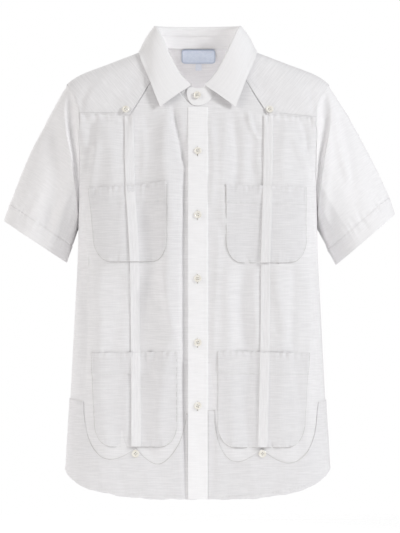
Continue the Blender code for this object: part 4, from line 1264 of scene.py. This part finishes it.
def make_yoke(seams):
    welded = Welded()
    q = np.linspace(0, 1, 34)
    f = np.concatenate((np.linspace(0, 0.94, 36), (0.965, 0.985, 1.0)))
    for side in (-1, 1):
        ff = f[::side]
        grid = yoke_points(side, ff[None, :], q[::-1, None], False)
        x, z = grid[..., 0], grid[..., 2]
        slope = np.stack((-side * 0.65 * x - 0.76 * z, 0.76 * x - side * 0.65 * z), -1)
        welded.add(grid, slope)
    rows = []
    middle_x = np.linspace(-NECK_HALF, NECK_HALF, 41)
    for value in q:
        z = NECK_TOP - value * value * (NECK_TOP - YOKE_BACK_Z)
        middle = np.stack((middle_x, bare_depth(middle_x, z, True), np.full(41, z)), -1)
        left = yoke_points(-1, f[::-1], value, True)
        right = yoke_points(1, f, value, True)
        rows.append(np.vstack((left, middle[1:-1], right)))
    behind = np.array(rows)
    uv = np.stack((behind[..., 0], -behind[..., 2] + behind[..., 1]), -1)
    welded.add(behind, uv)
    points, faces = np.array(welded.points), np.array(welded.faces)
    normals = point_normals(points, faces)
    if (normals * (points - (0, 0, -90))).sum() < 0:
        faces, normals = faces[:, ::-1], -normals
    x, y, z = points.T
    relief = np.where(y < 0.01, creases(x, z, YOKE_CREASES), 0)
    relief += np.where(y > 0, creases(x, z, YOKE_BACK_CREASES), 0) * np.clip(y / 20, 0, 1)
    side = np.sign(x)
    edge = np.where(side < 0, yoke_edge(x, -1), yoke_edge(x, 1))
    in_front = (y < 0) & (np.abs(x) > 50)
    relief += np.where(in_front, wrinkles(x, np.maximum(z - edge, 0), 14, 7, 0.5, 81), 0)
    rng = np.random.default_rng(82)
    for _ in range(40):
        cx, cz, way = rng.uniform(-215, 215), rng.uniform(-100, 0), rng.choice((-1, 1))
        size, wide = rng.uniform(-0.7, 0.7), rng.uniform(9, 20)
        relief += size * np.exp(-((x - cx) ** 2 + (z - cz) ** 2) / wide ** 2) * (np.sign(y) == way)
    from_edge = np.where(in_front, np.abs(z - edge), 99)
    from_edge = np.where((y > 0) & (z < -40), np.minimum(from_edge, z - YOKE_BACK_Z), from_edge)
    relief *= smooth_step(from_edge / 6 + 0.1)
    outside = PANEL + 1.0 + relief - 0.5 * np.clip(1 - from_edge / 1.5, 0, 1) ** 2
    made = shell("yoke_cloth", points + normals * outside[:, None], faces, normals,
                 np.full(len(points), 1.2), np.array(welded.uv), YOKE)
    finish_sheet(made, "yoke")
    for side in (-1, 1):
        for back in (False, True):
            along = np.linspace(0.02, 0.985, 160)
            line = yoke_points(side, along, np.full(160, 0.985), back)
            seams.row(line + (0, (1 if back else -1) * 1.75, 0.6),
                      np.tile((0, 1.0 if back else -1.0, 0.3), (160, 1)))
        slope = yoke_points(side, np.full(80, 0.02), np.linspace(0.5, 0.985, 80), False)
        seams.row(slope + (0, -1.75, 0.6), np.tile((0, -1.0, 0.4), (80, 1)))


# ---------------------------------------------------------------- sleeves
SLEEVE_OUT = 0.7            # the sleeve's edge stands this far out from the body's
SLEEVE_TUCK = 3.2           # depth below the body's face of the edge tucked inside it


def armhole_loop(side, count, tuck=False):
    """Even points of the sleeve's edge, from the shoulder down the front and up the back.

    The tucked edge lies a little inside the body, behind the edges of the panels.
    """
    share = 0.975 if tuck else 1.0
    foot = ARMHOLE[-1][0]
    halves = []
    for back in (False, True):
        top = YOKE_BACK_Z if back else YOKE_FRONT[side][4]
        yoke = yoke_points(side, share, np.linspace(0.1, 1, 24), back)
        z = np.arange(top - 2, foot, -2.0)
        panel = body(side * (FLAT + 2 * share - 1) + 0 * z, z, back)[0]
        half = np.vstack((yoke, panel))
        half[:, 0] += 0 if tuck else side * SLEEVE_OUT
        halves.append(half)
    tip_x = SHOULDER_TIP - (3.5 if tuck else 0)
    tip = np.array([(side * (tip_x + 0.3), 0, shoulder(tip_x))])
    under = np.array([(side * (half_width(foot) + (0 if tuck else 1.0)), 0, foot)])
    loop = np.vstack((tip, halves[0], under, halves[1][::-1], tip))
    run = np.concatenate([[0], np.cumsum(np.linalg.norm(np.diff(loop, axis=0), axis=1))])
    if tuck:
        inward = np.stack((0 * loop[:, 0], -loop[:, 1], np.full(len(loop), -30.0)), 1)
        loop = loop + inward / np.linalg.norm(inward, axis=1)[:, None] * SLEEVE_TUCK
    at = np.arange(count) / count * run[-1]
    return np.stack([np.interp(at, run, loop[:, k]) for k in range(3)], 1), run[-1]


def sleeve_fold(x, y, z, run):
    """Push of the ridge (forward) and the valley (back) beside the armhole seam."""
    facing = np.minimum(np.abs(y) / 40, 1) ** 2 * np.where(y < 0, 1, -1)
    ridge = ridge_line(z)
    seam = np.where(z > -140, ridge - 24, 200)
    width = np.maximum(ridge - seam, 3)
    start = np.minimum(run / 0.04, 1)
    fade = np.maximum(1 - run / RIDGE_FADE, 0)
    share = np.clip((ridge - x) / width, 0, 1)
    outer = -RIDGE_HEIGHT * np.exp(-((x - ridge) / RIDGE_REACH) ** 2)
    inner = -RIDGE_HEIGHT * (1 - share) + VALLEY_SHARE * width * np.sin(np.pi * share ** 0.8)
    return np.where(x >= ridge, outer, inner) * facing * start * fade


def sleeve_opening(side, count):
    """The ring of the sleeve's opening."""
    outer_x, outer_z, inner_x, inner_z = SLEEVE_OPENINGS[side]
    turn = np.arange(count) / count * 2 * math.pi
    middle = np.array(((outer_x + inner_x) / 2, 0, (outer_z + inner_z) / 2))
    to_outer = np.array((outer_x, 0, outer_z)) - middle
    return (middle + np.cos(turn)[:, None] * to_outer
            + np.sin(turn)[:, None] * np.array((0, -SLEEVE_DEPTH / 2, 0)))


def sleeve_rows(side, runs, seam, cuff):
    """Points of the sleeve, for each row's shares of the way from its seam to its opening."""
    turn = np.arange(len(seam)) / len(seam) * 2 * math.pi
    bow = np.array(SLEEVE_BOW_WAY) * (side * SLEEVE_BOW, 0, SLEEVE_BOW)
    run = runs[:, :, None]
    grid = seam * (1 - run) + cuff * run
    grid = grid + 4 * run * (1 - run) * np.maximum(np.cos(turn), 0)[None, :, None] ** 2 * bow
    grid[..., 1] += sleeve_fold(np.abs(grid[..., 0]), grid[..., 1], grid[..., 2], runs)
    return grid


def sleeve_relief(side, bare, along, short, girth):
    """Creases over a sleeve's grid, with puckers at its seam and above its hem."""
    x, y, z = bare[..., 0], bare[..., 1], bare[..., 2]
    total = np.zeros(x.shape)
    for face, way in (("front", -1), ("back", 1)):
        folds = SLEEVE_CREASE_SCALE * creases(x, z, SLEEVE_CREASES[side, face])
        total += folds * smooth_step(way * y / 12)
    count = x.shape[1]
    turn = np.arange(count) / count
    turn = np.where(turn > 0.5, turn - 1, turn)[None, :] * girth
    turn = np.broadcast_to(turn, along.shape)
    rng = np.random.default_rng(90 + side)
    for _ in range(50):
        ct, ca = rng.uniform(-0.5, 0.5) * girth, rng.uniform(0, 260)
        wide, tall, size = rng.uniform(10, 22), rng.uniform(18, 50), rng.uniform(-0.6, 0.6)
        total = total + size * np.exp(-((turn - ct) / wide) ** 2 - ((along - ca) / tall) ** 2)
    total = total + wrinkles(turn, np.maximum(along, 0), 13, 9, 0.5, 93 + side)
    total = total + wrinkles(turn, np.abs(short - SLEEVE_HEM), 13, 12, 1.7, 96 + side)
    total = total - 0.6 * np.exp(-((short - SLEEVE_HEM - 1.0) / 1.3) ** 2)
    return total * np.clip(along / 10, 0, 1)


def make_sleeves(seams):
    count = 200
    for name, side in (("left", -1), ("right", 1)):
        seam, girth = armhole_loop(side, count)
        cuff = sleeve_opening(side, count)
        length = np.linalg.norm(cuff - seam, axis=1)
        hem_start = 1 - SLEEVE_HEM / length
        part = np.concatenate((np.array((0, 0.005, 0.012, 0.022, 0.034)),
                               np.linspace(0.045, 1, 84)))
        hem_part = np.concatenate(([0.012, 0.04, 0.08], np.linspace(0.14, 0.94, 11), [0.98, 1]))
        for piece, outside, thick in (("sleeve", 0.0, 0.6), ("sleeve_hem", 0.35, 1.3)):
            runs = part[:, None] * hem_start
            if piece == "sleeve_hem":
                runs = hem_start + hem_part[:, None] * (1 - hem_start)
            bare = sleeve_rows(side, runs, seam, cuff)
            if piece == "sleeve":
                bare = np.concatenate((armhole_loop(side, count, True)[0][None], bare))
                runs = np.concatenate((np.full((1, count), -0.016), runs))
            flip = side < 0
            normals = grid_normals(bare, wrap=True, flip=flip)
            if ((bare - bare.mean(axis=(0, 1))) * normals).sum() < 0:
                flip, normals = not flip, -normals
            along, short = runs * length, (1 - runs) * length
            relief = sleeve_relief(side, bare, along, short, girth)
            if piece == "sleeve_hem":
                edge = np.minimum(SLEEVE_HEM - short, short)
                outside = outside - 0.3 * np.clip(1 - edge / 1.2, 0, 1) ** 2
            points = bare + normals * (relief + outside)[..., None]
            # slubs run round the sleeve; mirrored at the back so that the pattern meets itself
            turn = np.broadcast_to(np.arange(count) / count * girth, runs.shape)
            uv = np.stack((np.abs(turn - girth / 2), short), -1).reshape(-1, 2)
            # the sleeves use the lighter copy of the linen, whose extra lightness is painted light
            made = shell(f"{piece}_{name}_cloth", points.reshape(-1, 3),
                         grid_faces(len(runs), count, True, flip), normals.reshape(-1, 3), thick,
                         uv, SLEEVE_CLOTH_PAINTED_LIGHT)
            finish_sheet(made, f"{piece}_{name}")
            for row in (3, 6) if piece == "sleeve" else (2,):
                stitch_loop(seams, points, normals, row)


def stitch_loop(seams, points, normals, k):
    row = np.vstack((points[k], points[k][:1]))
    seams.row(row, np.vstack((normals[k], normals[k][:1])))


# ---------------------------------------------------------------- collar
def neck_point(turn):
    angle = math.radians(turn)
    x = NECK_HALF * math.sin(angle)
    if math.cos(angle) >= 0:
        return np.array((x, float(back_depth(NECK_TOP)) * math.cos(angle), NECK_TOP))
    z = NECK_TOP - NECK_DROP * abs(math.cos(angle)) ** NECK_CURVE
    return np.array((x, -float(bare_depth(x, z)), z))


def stand_top(turn):
    angle = math.radians(turn)
    x = STAND_TOP_HALF * math.sin(angle)
    top = NECK_TOP + STAND_HEIGHT
    if math.cos(angle) >= 0:
        return np.array((x, STAND_TOP_BACK * math.cos(angle), top))
    drop = abs(math.cos(angle)) ** NECK_CURVE
    return np.array((x, STAND_TOP_FRONT_Y * abs(math.cos(angle)), top - STAND_TOP_DROP * drop))


def make_collar_stand(seams):
    under = -180 - math.degrees(math.asin(STAND_UNDER_END / NECK_HALF))
    tab = 180 + math.degrees(math.asin(-STAND_TAB_END / NECK_HALF))
    turns = np.concatenate((np.linspace(under, tab - TAB_ROUND, 200),
                            tab - TAB_ROUND * np.cos(np.linspace(0.12, math.pi / 2, 14))))
    heights = lines(0, 1, 0.07, (0.015, 0.035, 0.07))
    grid = np.zeros((len(heights), len(turns), 3))
    for c, turn in enumerate(turns):
        low, high = neck_point(turn), stand_top(turn)
        out = np.array((math.sin(math.radians(turn)), math.cos(math.radians(turn)), 0))
        low = low + (high - low) * (0.6 / STAND_HEIGHT) - out * 0.8
        lap = smooth_step((turn - LAP_TURNS[0]) / (LAP_TURNS[1] - LAP_TURNS[0]))
        tip = max(turn - (tab - TAB_ROUND), 0) / TAB_ROUND
        squeeze = 0.5 - 0.5 * math.sqrt(max(1 - tip ** 2, 0.01))
        shares = squeeze + heights * (1 - 2 * squeeze)
        grid[:, c] = low + (high - low) * shares[:, None] + out * (lap * LAP_OUT)
    normals = grid_normals(grid)
    outward = np.stack([(math.sin(math.radians(t)), math.cos(math.radians(t)), 0.0) for t in turns])
    flip = (normals * outward).sum() < 0
    if flip:
        normals = -normals
    rows, columns = grid.shape[:2]
    run = turns * NECK_HALF * math.pi / 180
    uv = np.stack((np.broadcast_to(run, (rows, columns)),
                   np.broadcast_to(heights[:, None] * STAND_HEIGHT, (rows, columns))), -1)
    made = shell("collar_stand_cloth", (grid + normals * 0.6).reshape(-1, 3),
                 grid_faces(rows, columns, flip=flip), normals.reshape(-1, 3), 1.2,
                 uv.reshape(-1, 2), COLLAR)
    finish_sheet(made, "collar_stand")
    for row in (2, rows - 3):
        keep = slice(170, columns - 2)
        seams.row((grid + normals * 0.62)[row, keep], normals[row, keep])
    inner = slice(40, 160)
    seams.row((grid - normals * 0.62)[2, inner], -normals[2, inner])


def clear_of_body(point, room):
    """Move a point out until it is clear of the body's surface."""
    def share(p):
        power = squareness(p[2])
        depth = (front_depth if p[1] < 0 else back_depth)(p[2])
        return (abs(p[0] / half_width(p[2])) ** power + abs(p[1] / depth) ** power) ** (1 / power)

    point = np.array(point, float)
    for _ in range(8):
        if point[2] > SECTIONS[0][0]:
            break
        slope = np.array([(share(point + step) - share(point - step)) / 2 for step in np.eye(3)])
        length = np.linalg.norm(slope)
        lack = room - (share(point) - 1) / length
        if lack > 0:
            point += slope / length * lack
    return point


def make_collar_leaf(seams):
    edges = [curve([(row[0], row[i]) for row in LEAF_EDGE]) for i in (1, 2, 3)]
    last = 180 - math.degrees(math.asin(LEAF_END_X / STAND_TOP_HALF))
    half = np.concatenate((np.linspace(0, 0.97, 64), (0.98, 0.988, 0.994, 1.0)))
    turns = np.concatenate([-half[:0:-1], half])
    steps = np.concatenate((np.linspace(0, 1, 5), np.linspace(1.2, 4, 16),
                            np.linspace(4.15, 6.97, 26), (7.0,)))
    grid = np.zeros((len(turns), len(steps), 3))
    for r, turn in enumerate(turns):
        side = math.copysign(1, turn)
        share = abs(turn)
        top_turn = share * last
        low_turn = share * LEAF_EDGE[-1][0]
        top = stand_top(top_turn)
        out = np.array((math.sin(math.radians(top_turn)), math.cos(math.radians(top_turn)), 0))
        edge = np.array([float(at(low_turn)) for at in edges])
        up = np.array((0, 0, LEAF_RISE))
        down = neck_point(top_turn) - top
        down /= np.linalg.norm(down)
        line = [top - out * 1.5 + down * LEAF_INSIDE, top - out * 1.5 + down * 2.0,
                top + up * 0.55, top + out * 2.2 + up]
        fall = top + out * 4.6 + up * 0.2
        for k in (0, 0.3, 0.65, 1):
            line.append(fall * (1 - k) + edge * k + out * LEAF_BULGE * math.sin(math.pi * k) ** 0.8)
        line = np.array(line[:3] + [clear_of_body(point, LEAF_ROOM) for point in line[3:]])
        smooth = np.stack([curve([(i, p[k]) for i, p in enumerate(line)])(steps)
                           for k in range(3)], 1)
        grid[r] = smooth * (side, 1, 1)
    for _ in range(2):      # soften what the push away from the body leaves
        fall = grid[:, FOLD_STEPS:-3]
        fall[1:-1] = 0.5 * fall[1:-1] + 0.25 * (fall[:-2] + fall[2:])
    normals = grid_normals(grid)
    flip = (normals[:, -6] * (grid[:, -6] - (0, 0, -20))).sum() < 0
    if flip:
        normals = -normals
    rows, columns = grid.shape[:2]
    gaps = np.linalg.norm(np.diff(grid, axis=1), axis=2)
    down = np.concatenate((np.zeros((rows, 1)), np.cumsum(gaps, axis=1)), axis=1)
    total = down[:, -1:]
    from_edge = total - down
    from_end = np.abs(np.abs(turns) - 1)[:, None] * 150 + 0 * down
    rim = np.minimum(from_edge, from_end)
    relief = -0.22 * np.exp(-((rim - 5.5) / 1.0) ** 2)
    relief = relief + 0.3 * np.sin(turns * 6.0)[:, None] * np.clip(down / 20 - 0.3, 0, 1)
    uv = np.stack((turns[:, None] * 150 + 0 * down, down), -1)
    made = shell("collar_leaf_cloth", (grid + normals * (0.7 + relief)[..., None]).reshape(-1, 3),
                 grid_faces(rows, columns, flip=flip), normals.reshape(-1, 3), 1.3,
                 uv.reshape(-1, 2), COLLAR)
    finish_sheet(made, "collar_leaf")
    outer = grid + normals * 0.72
    k = columns - 6
    seams.row(outer[4:-4, k], normals[4:-4, k])
    for r in (3, rows - 4):
        seams.row(outer[r, FOLD_STEPS:k], normals[r, FOLD_STEPS:k])


# ---------------------------------------------------------------- buttons and label
YOKE_BUTTONS = {"left": (-122, -99.3), "right": (122, -99.3)}
HEM_BUTTONS = {"left": (-105, -681), "right": (109, -681)}
#    radius, height of a button's turned profile, from the underside round to the middle
BUTTON_PROFILE = ((0.0, 0.0), (4.9, 0.0), (5.7, 0.35), (6.25, 1.0), (6.35, 1.5),
                  (6.2, 2.0), (5.75, 2.35),
                  (5.2, 2.42), (4.7, 2.25), (4.3, 1.95), (3.7, 1.72), (2.4, 1.6), (0.0, 1.55))
HOLE_PROFILE = ((0.0, 1.5), (0.85, 1.52), (0.85, 1.66), (0.55, 1.70), (0.0, 1.68))
HOLE_OUT = 1.35             # from the middle lines to each of the four holes
THREAD_REACH = 0.26         # half the thickness of the button thread


def turned(profile, sides):
    """A lathed form about +Z, as points and faces, with its seams welded at the axis."""
    points, rings = [], []
    for reach, height in profile:
        count = sides if reach else 1
        start = len(points)
        for k in range(count):
            angle = 2 * math.pi * k / sides
            points.append((reach * math.cos(angle), reach * math.sin(angle), height))
        rings.append((start, count))
    faces = []
    for (low, low_count), (high, high_count) in zip(rings, rings[1:]):
        for k in range(sides):
            ring = [low + k % low_count, low + (k + 1) % low_count,
                    high + (k + 1) % high_count, high + k % high_count]
            kept = list(dict.fromkeys(ring))
            faces.append(kept + [kept[-1]] * (4 - len(kept)))
    return np.array(points, float), np.array(faces)


def placed(points, centre, across, up, normal):
    return centre + points[:, :1] * across + points[:, 1:2] * up + points[:, 2:3] * normal


def make_button(name, centre, normal, spin=0.0):
    """A four-hole button, its holes and the thread that crosses between them."""
    normal = normal / np.linalg.norm(normal)
    across = np.cross(normal, (0, 0, 1))
    across /= -np.linalg.norm(across)
    up = np.cross(normal, across)
    up *= math.copysign(1, up[2])
    turn_across = across * math.cos(spin) + up * math.sin(spin)
    turn_up = up * math.cos(spin) - across * math.sin(spin)
    points, faces = turned(BUTTON_PROFILE, 40)
    made = make_mesh(f"{name}_shell", placed(points, centre, turn_across, turn_up, normal), faces,
                     points[:, :2], BUTTON)
    finish_piece(made, "button", name)

    hole_points, hole_faces, thread_points, thread_faces = [], [], [], []
    for sx in (-1, 1):
        for sy in (-1, 1):
            ring, ring_faces = turned(HOLE_PROFILE, 14)
            ring = ring + (sx * HOLE_OUT, sy * HOLE_OUT, 0)
            hole_faces.append(ring_faces + sum(len(p) for p in hole_points))
            hole_points.append(ring)
    for sx in (-1, 1):
        for strand in (-0.28, 0.28):
            arc = np.linspace(-HOLE_OUT, HOLE_OUT, 7)
            rise = 1.72 + 0.5 * (1 - (arc / HOLE_OUT) ** 2)
            around = np.linspace(0, 2 * math.pi, 7)[:-1]
            tube = np.array([(sx * HOLE_OUT + strand + THREAD_REACH * math.cos(a), v,
                              h + THREAD_REACH * math.sin(a))
                             for v, h in zip(arc, rise) for a in around])
            thread_faces.append(grid_faces(7, 6, True, True) + sum(len(p) for p in thread_points))
            thread_points.append(tube)
    # the four holes are dark caps set in the button's face: painted shade, with no opening under
    # them
    for part, pts, fcs, material in (("holes", hole_points, hole_faces, BUTTON_HOLE_PAINTED_SHADE),
                                     ("thread", thread_points, thread_faces, THREAD)):
        pts, fcs = np.vstack(pts), np.vstack(fcs)
        piece = make_mesh(f"{name}_{part}", placed(pts, centre, turn_across, turn_up, normal), fcs,
                          pts[:, :2], material)
        finish_piece(piece, "button")


BUTTONHOLE = (3.0, 17.0)    # width and length of the stitching round a buttonhole
SLIT = (0.9, 15.4)


def make_buttonholes():
    """The worked buttonholes of the placket, which show a little above and below the buttons."""
    # each slit is a dark sheet on the placket: painted shade of the cut
    for name, (width, length), height, material in (
            ("buttonhole_stitching", BUTTONHOLE, 1.12, THREAD),
            ("buttonhole_slits_painted_shade", SLIT, 1.2, BUTTON_HOLE_PAINTED_SHADE)):
        points, faces = [], []
        for button_z in PLACKET_BUTTON_Z:
            turn = np.linspace(0, 2 * math.pi, 33)[:-1]
            x = -0.4 + width / 2 * np.cos(turn)
            middle = button_z - 0.8
            z = middle + np.sin(turn) * width / 2 + np.sign(np.sin(turn)) * (length - width) / 2
            ring, normals = on_placket(np.append(x, -0.4), np.append(z, middle), STRIP + height)
            low = ring - normals * 0.5
            start = sum(len(p) for p in points)
            points.append(np.vstack((ring[:-1], low[:-1])))
            half = np.arange(15)
            cap = np.stack((half, half + 1, 30 - half, 31 - half), 1)
            around = np.arange(32)
            wall = np.stack((around, around + 32, (around + 1) % 32 + 32, (around + 1) % 32), 1)
            faces.append(np.vstack((cap, cap[:, ::-1] + 32, wall)) + start)
        points, faces = np.vstack(points), np.vstack(faces)
        finish_piece(make_mesh(name, points, faces, points[:, [0, 2]], material), "cloth")


def make_buttons():
    for number, z in enumerate(PLACKET_BUTTON_Z, 1):
        points, normals = on_placket(np.array([0.0]), np.array([float(z)]), STRIP + 1.3)
        spin = 0.35 * math.sin(number * 2.1)
        make_button(f"button_placket_{number}", points[0], normals[0], spin)
    for name, (x, z) in YOKE_BUTTONS.items():
        points, normals = panel_path(np.array([float(x)]), np.array([float(z)]), 0)
        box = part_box(f"button_yoke_{name}")
        centre = (np.array(box[0]) + np.array(box[1])) / 2 / MM - normals[0] * 1.2
        make_button(f"button_yoke_{name}", centre, normals[0], 0.6)
    for name, (x, z) in HEM_BUTTONS.items():
        points, normals = panel_path(np.array([float(x)]), np.array([float(z)]), STRIP + 1.3)
        make_button(f"button_hem_{name}", points[0], normals[0], 0.8)
    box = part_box("button_collar")
    centre = (np.array(box[0]) + np.array(box[1])) / 2 / MM
    tab_normal = neck_tab_normal()
    make_button("button_collar", centre - tab_normal * 1.2, tab_normal, 0.2)


def neck_tab_normal():
    """The way the collar's tab faces at its button."""
    low, high = neck_point(179.2), stand_top(179.2)
    up = (high - low) / np.linalg.norm(high - low)
    normal = np.cross((1.0, 0, 0), up)
    return normal / np.linalg.norm(normal) * (1 if normal[1] < 0 else -1)


def rounded_sheet(name, box, corner, out, thick, material, node_name=None):
    """A small rectangle with round corners, against the inside of the yoke's back."""
    left, right, top, foot = box
    half_w, half_h = (right - left) / 2, (top - foot) / 2
    middle_x, middle_z = (left + right) / 2, (top + foot) / 2
    rows = []
    for v in np.linspace(-1, 1, 25):
        z = middle_z + v * half_h
        cut = max(abs(z - middle_z) - (half_h - corner), 0) / corner
        width = half_w - corner * (1 - math.sqrt(max(1 - cut * cut, 0)))
        x = middle_x + np.linspace(-1, 1, 31) * width
        y = bare_depth(x, z, True) - out + 0.25 * np.sin(x / 7.0) * np.cos(z / 6.0)
        rows.append(np.stack((x, y, np.full(31, z)), 1))
    grid = np.array(rows)
    normals = np.broadcast_to((0.0, -1.0, 0.0), grid.shape)
    made = shell(name, grid.reshape(-1, 3), grid_faces(25, 31), normals.reshape(-1, 3), thick,
                 grid[..., [0, 2]].reshape(-1, 2), material)
    if node_name:
        finish_sheet(made, node_name, "label")
    else:
        finish_piece(made, "label")


def make_labels():
    left, right, top, foot = LABEL
    rounded_sheet("neck_label_border", LABEL, 5.0, 2.0, 0.5, LABEL_EDGE, "neck_label")
    inner = (left + 2, right - 2, top - 2, foot + 2)
    rounded_sheet("neck_label_face", inner, 3.6, 2.5, 0.35, LABEL_CLOTH)
    rounded_sheet("size_tab_cloth", SIZE_TAB, 1.2, 1.9, 0.5, TAB_CLOTH, "size_tab")


# ---------------------------------------------------------------- floor, light and camera
FLOOR_Z = -0.90
FLOOR_RADIUS = 2.6


def make_stage():
    """A pale floor that fades out into the white surroundings."""
    mesh = bpy.data.meshes.new("floor")
    r = FLOOR_RADIUS
    corners = [(-r, -r, FLOOR_Z), (r, -r, FLOOR_Z), (r, r, FLOOR_Z), (-r, r, FLOOR_Z)]
    mesh.from_pydata(corners, [], [(0, 1, 2, 3)])
    made = bpy.data.materials.new("floor_paper")
    made.use_nodes = True
    tree = made.node_tree
    shader = tree.nodes["Principled BSDF"]
    shader.inputs["Base Color"].default_value = (0.9, 0.9, 0.9, 1)
    shader.inputs["Roughness"].default_value = 0.9
    shader.inputs["Emission Color"].default_value = (1, 1, 1, 1)
    shader.inputs["Emission Strength"].default_value = 0.38
    coords = node(tree, "ShaderNodeTexCoord")
    fall = node(tree, "ShaderNodeTexGradient", gradient_type="SPHERICAL")
    scale = node(tree, "ShaderNodeMapping")
    scale.inputs["Scale"].default_value = (1 / r, 1 / r, 0)
    tree.links.new(coords.outputs["Object"], scale.inputs["Vector"])
    tree.links.new(scale.outputs["Vector"], fall.inputs["Vector"])
    ramp = node(tree, "ShaderNodeValToRGB")
    ramp.color_ramp.elements[0].position = 0.05
    ramp.color_ramp.elements[1].position = 0.6
    tree.links.new(fall.outputs["Fac"], ramp.inputs["Fac"])
    tree.links.new(ramp.outputs["Color"], shader.inputs["Alpha"])
    mesh.materials.append(made)
    floor = bpy.data.objects.new("floor", mesh)
    bpy.context.scene.collection.objects.link(floor)


def make_light(name, place, aim, size, power, tint=(1, 1, 1)):
    data = bpy.data.lights.new(name, "AREA")
    data.color = tint
    data.shape = "RECTANGLE"
    data.size, data.size_y = size
    data.energy = power
    made = bpy.data.objects.new(name, data)
    made.location = place
    made.rotation_mode = "QUATERNION"
    made.rotation_quaternion = (Vector(aim) - Vector(place)).to_track_quat("-Z", "Y")
    bpy.context.scene.collection.objects.link(made)


def make_glow(name, place, power):
    """Stands in for the daylight that thin cloth lets through to its inside."""
    data = bpy.data.lights.new(name, "POINT")
    data.energy = power
    data.shadow_soft_size = 0.05
    made = bpy.data.objects.new(name, data)
    made.location = place
    made.visible_camera = False
    bpy.context.scene.collection.objects.link(made)


def make_lights():
    make_light("key", (2.3, -1.35, 1.2), (0, 0, -0.35), (0.7, 0.7), 48, (0.97, 0.985, 1))
    make_light("fill", (-2.2, -1.3, 0.7), (0, 0, -0.35), (1.6, 1.6), 26, (1, 0.975, 0.95))
    make_light("top", (0.3, -1.9, 2.2), (0, 0, -0.3), (1.4, 1.4), 6)
    make_light("behind", (-1.6, 2.4, 1.2), (0, 0, -0.35), (1.4, 1.4), 34)
    make_glow("glow_neck", (0, 0.01, -0.15), 0.11)
    make_glow("glow_chest", (0, 0, -0.42), 0.6)
    world = bpy.data.worlds.new("world")
    world.use_nodes = True
    tree = world.node_tree
    around = tree.nodes["Background"]
    around.inputs["Color"].default_value = (1, 1, 1, 1)
    around.inputs["Strength"].default_value = 0.30
    seen = node(tree, "ShaderNodeBackground")
    seen.inputs["Color"].default_value = (1, 1, 1, 1)
    path = node(tree, "ShaderNodeLightPath")
    choice = node(tree, "ShaderNodeMixShader")
    tree.links.new(path.outputs["Is Camera Ray"], choice.inputs[0])
    tree.links.new(around.outputs["Background"], choice.inputs[1])
    tree.links.new(seen.outputs["Background"], choice.inputs[2])
    tree.links.new(choice.outputs["Shader"], tree.nodes["World Output"].inputs["Surface"])
    bpy.context.scene.world = world
    bpy.context.scene.view_settings.view_transform = "Standard"


VIEW_CENTRE = (0.0037, -0.05, -0.3647)      # what the camera faces
VIEW_HEIGHT = 0.906                         # of the view there, in metres
VIEW_DISTANCE = 9.0


def make_camera():
    data = bpy.data.cameras.new("camera")
    data.sensor_width = 36
    data.lens = 36 * VIEW_DISTANCE / VIEW_HEIGHT
    data.clip_start, data.clip_end = 0.1, 50
    camera = bpy.data.objects.new("camera", data)
    camera.location = (VIEW_CENTRE[0], VIEW_CENTRE[1] - VIEW_DISTANCE, VIEW_CENTRE[2])
    camera.rotation_euler = (math.pi / 2, 0, 0)
    bpy.context.scene.collection.objects.link(camera)
    bpy.context.scene.camera = camera


def main():
    seams = Seams("stitches")
    make_camera()
    make_stage()
    make_lights()
    make_fronts(seams)
    make_back(seams)
    make_yoke(seams)
    make_placket(seams)
    make_pleats(seams)
    make_pockets(seams)
    make_hem_bands(seams)
    make_sleeves(seams)
    make_collar_stand(seams)
    make_collar_leaf(seams)
    make_buttonholes()
    make_buttons()
    make_labels()
    seams.finish()


main()
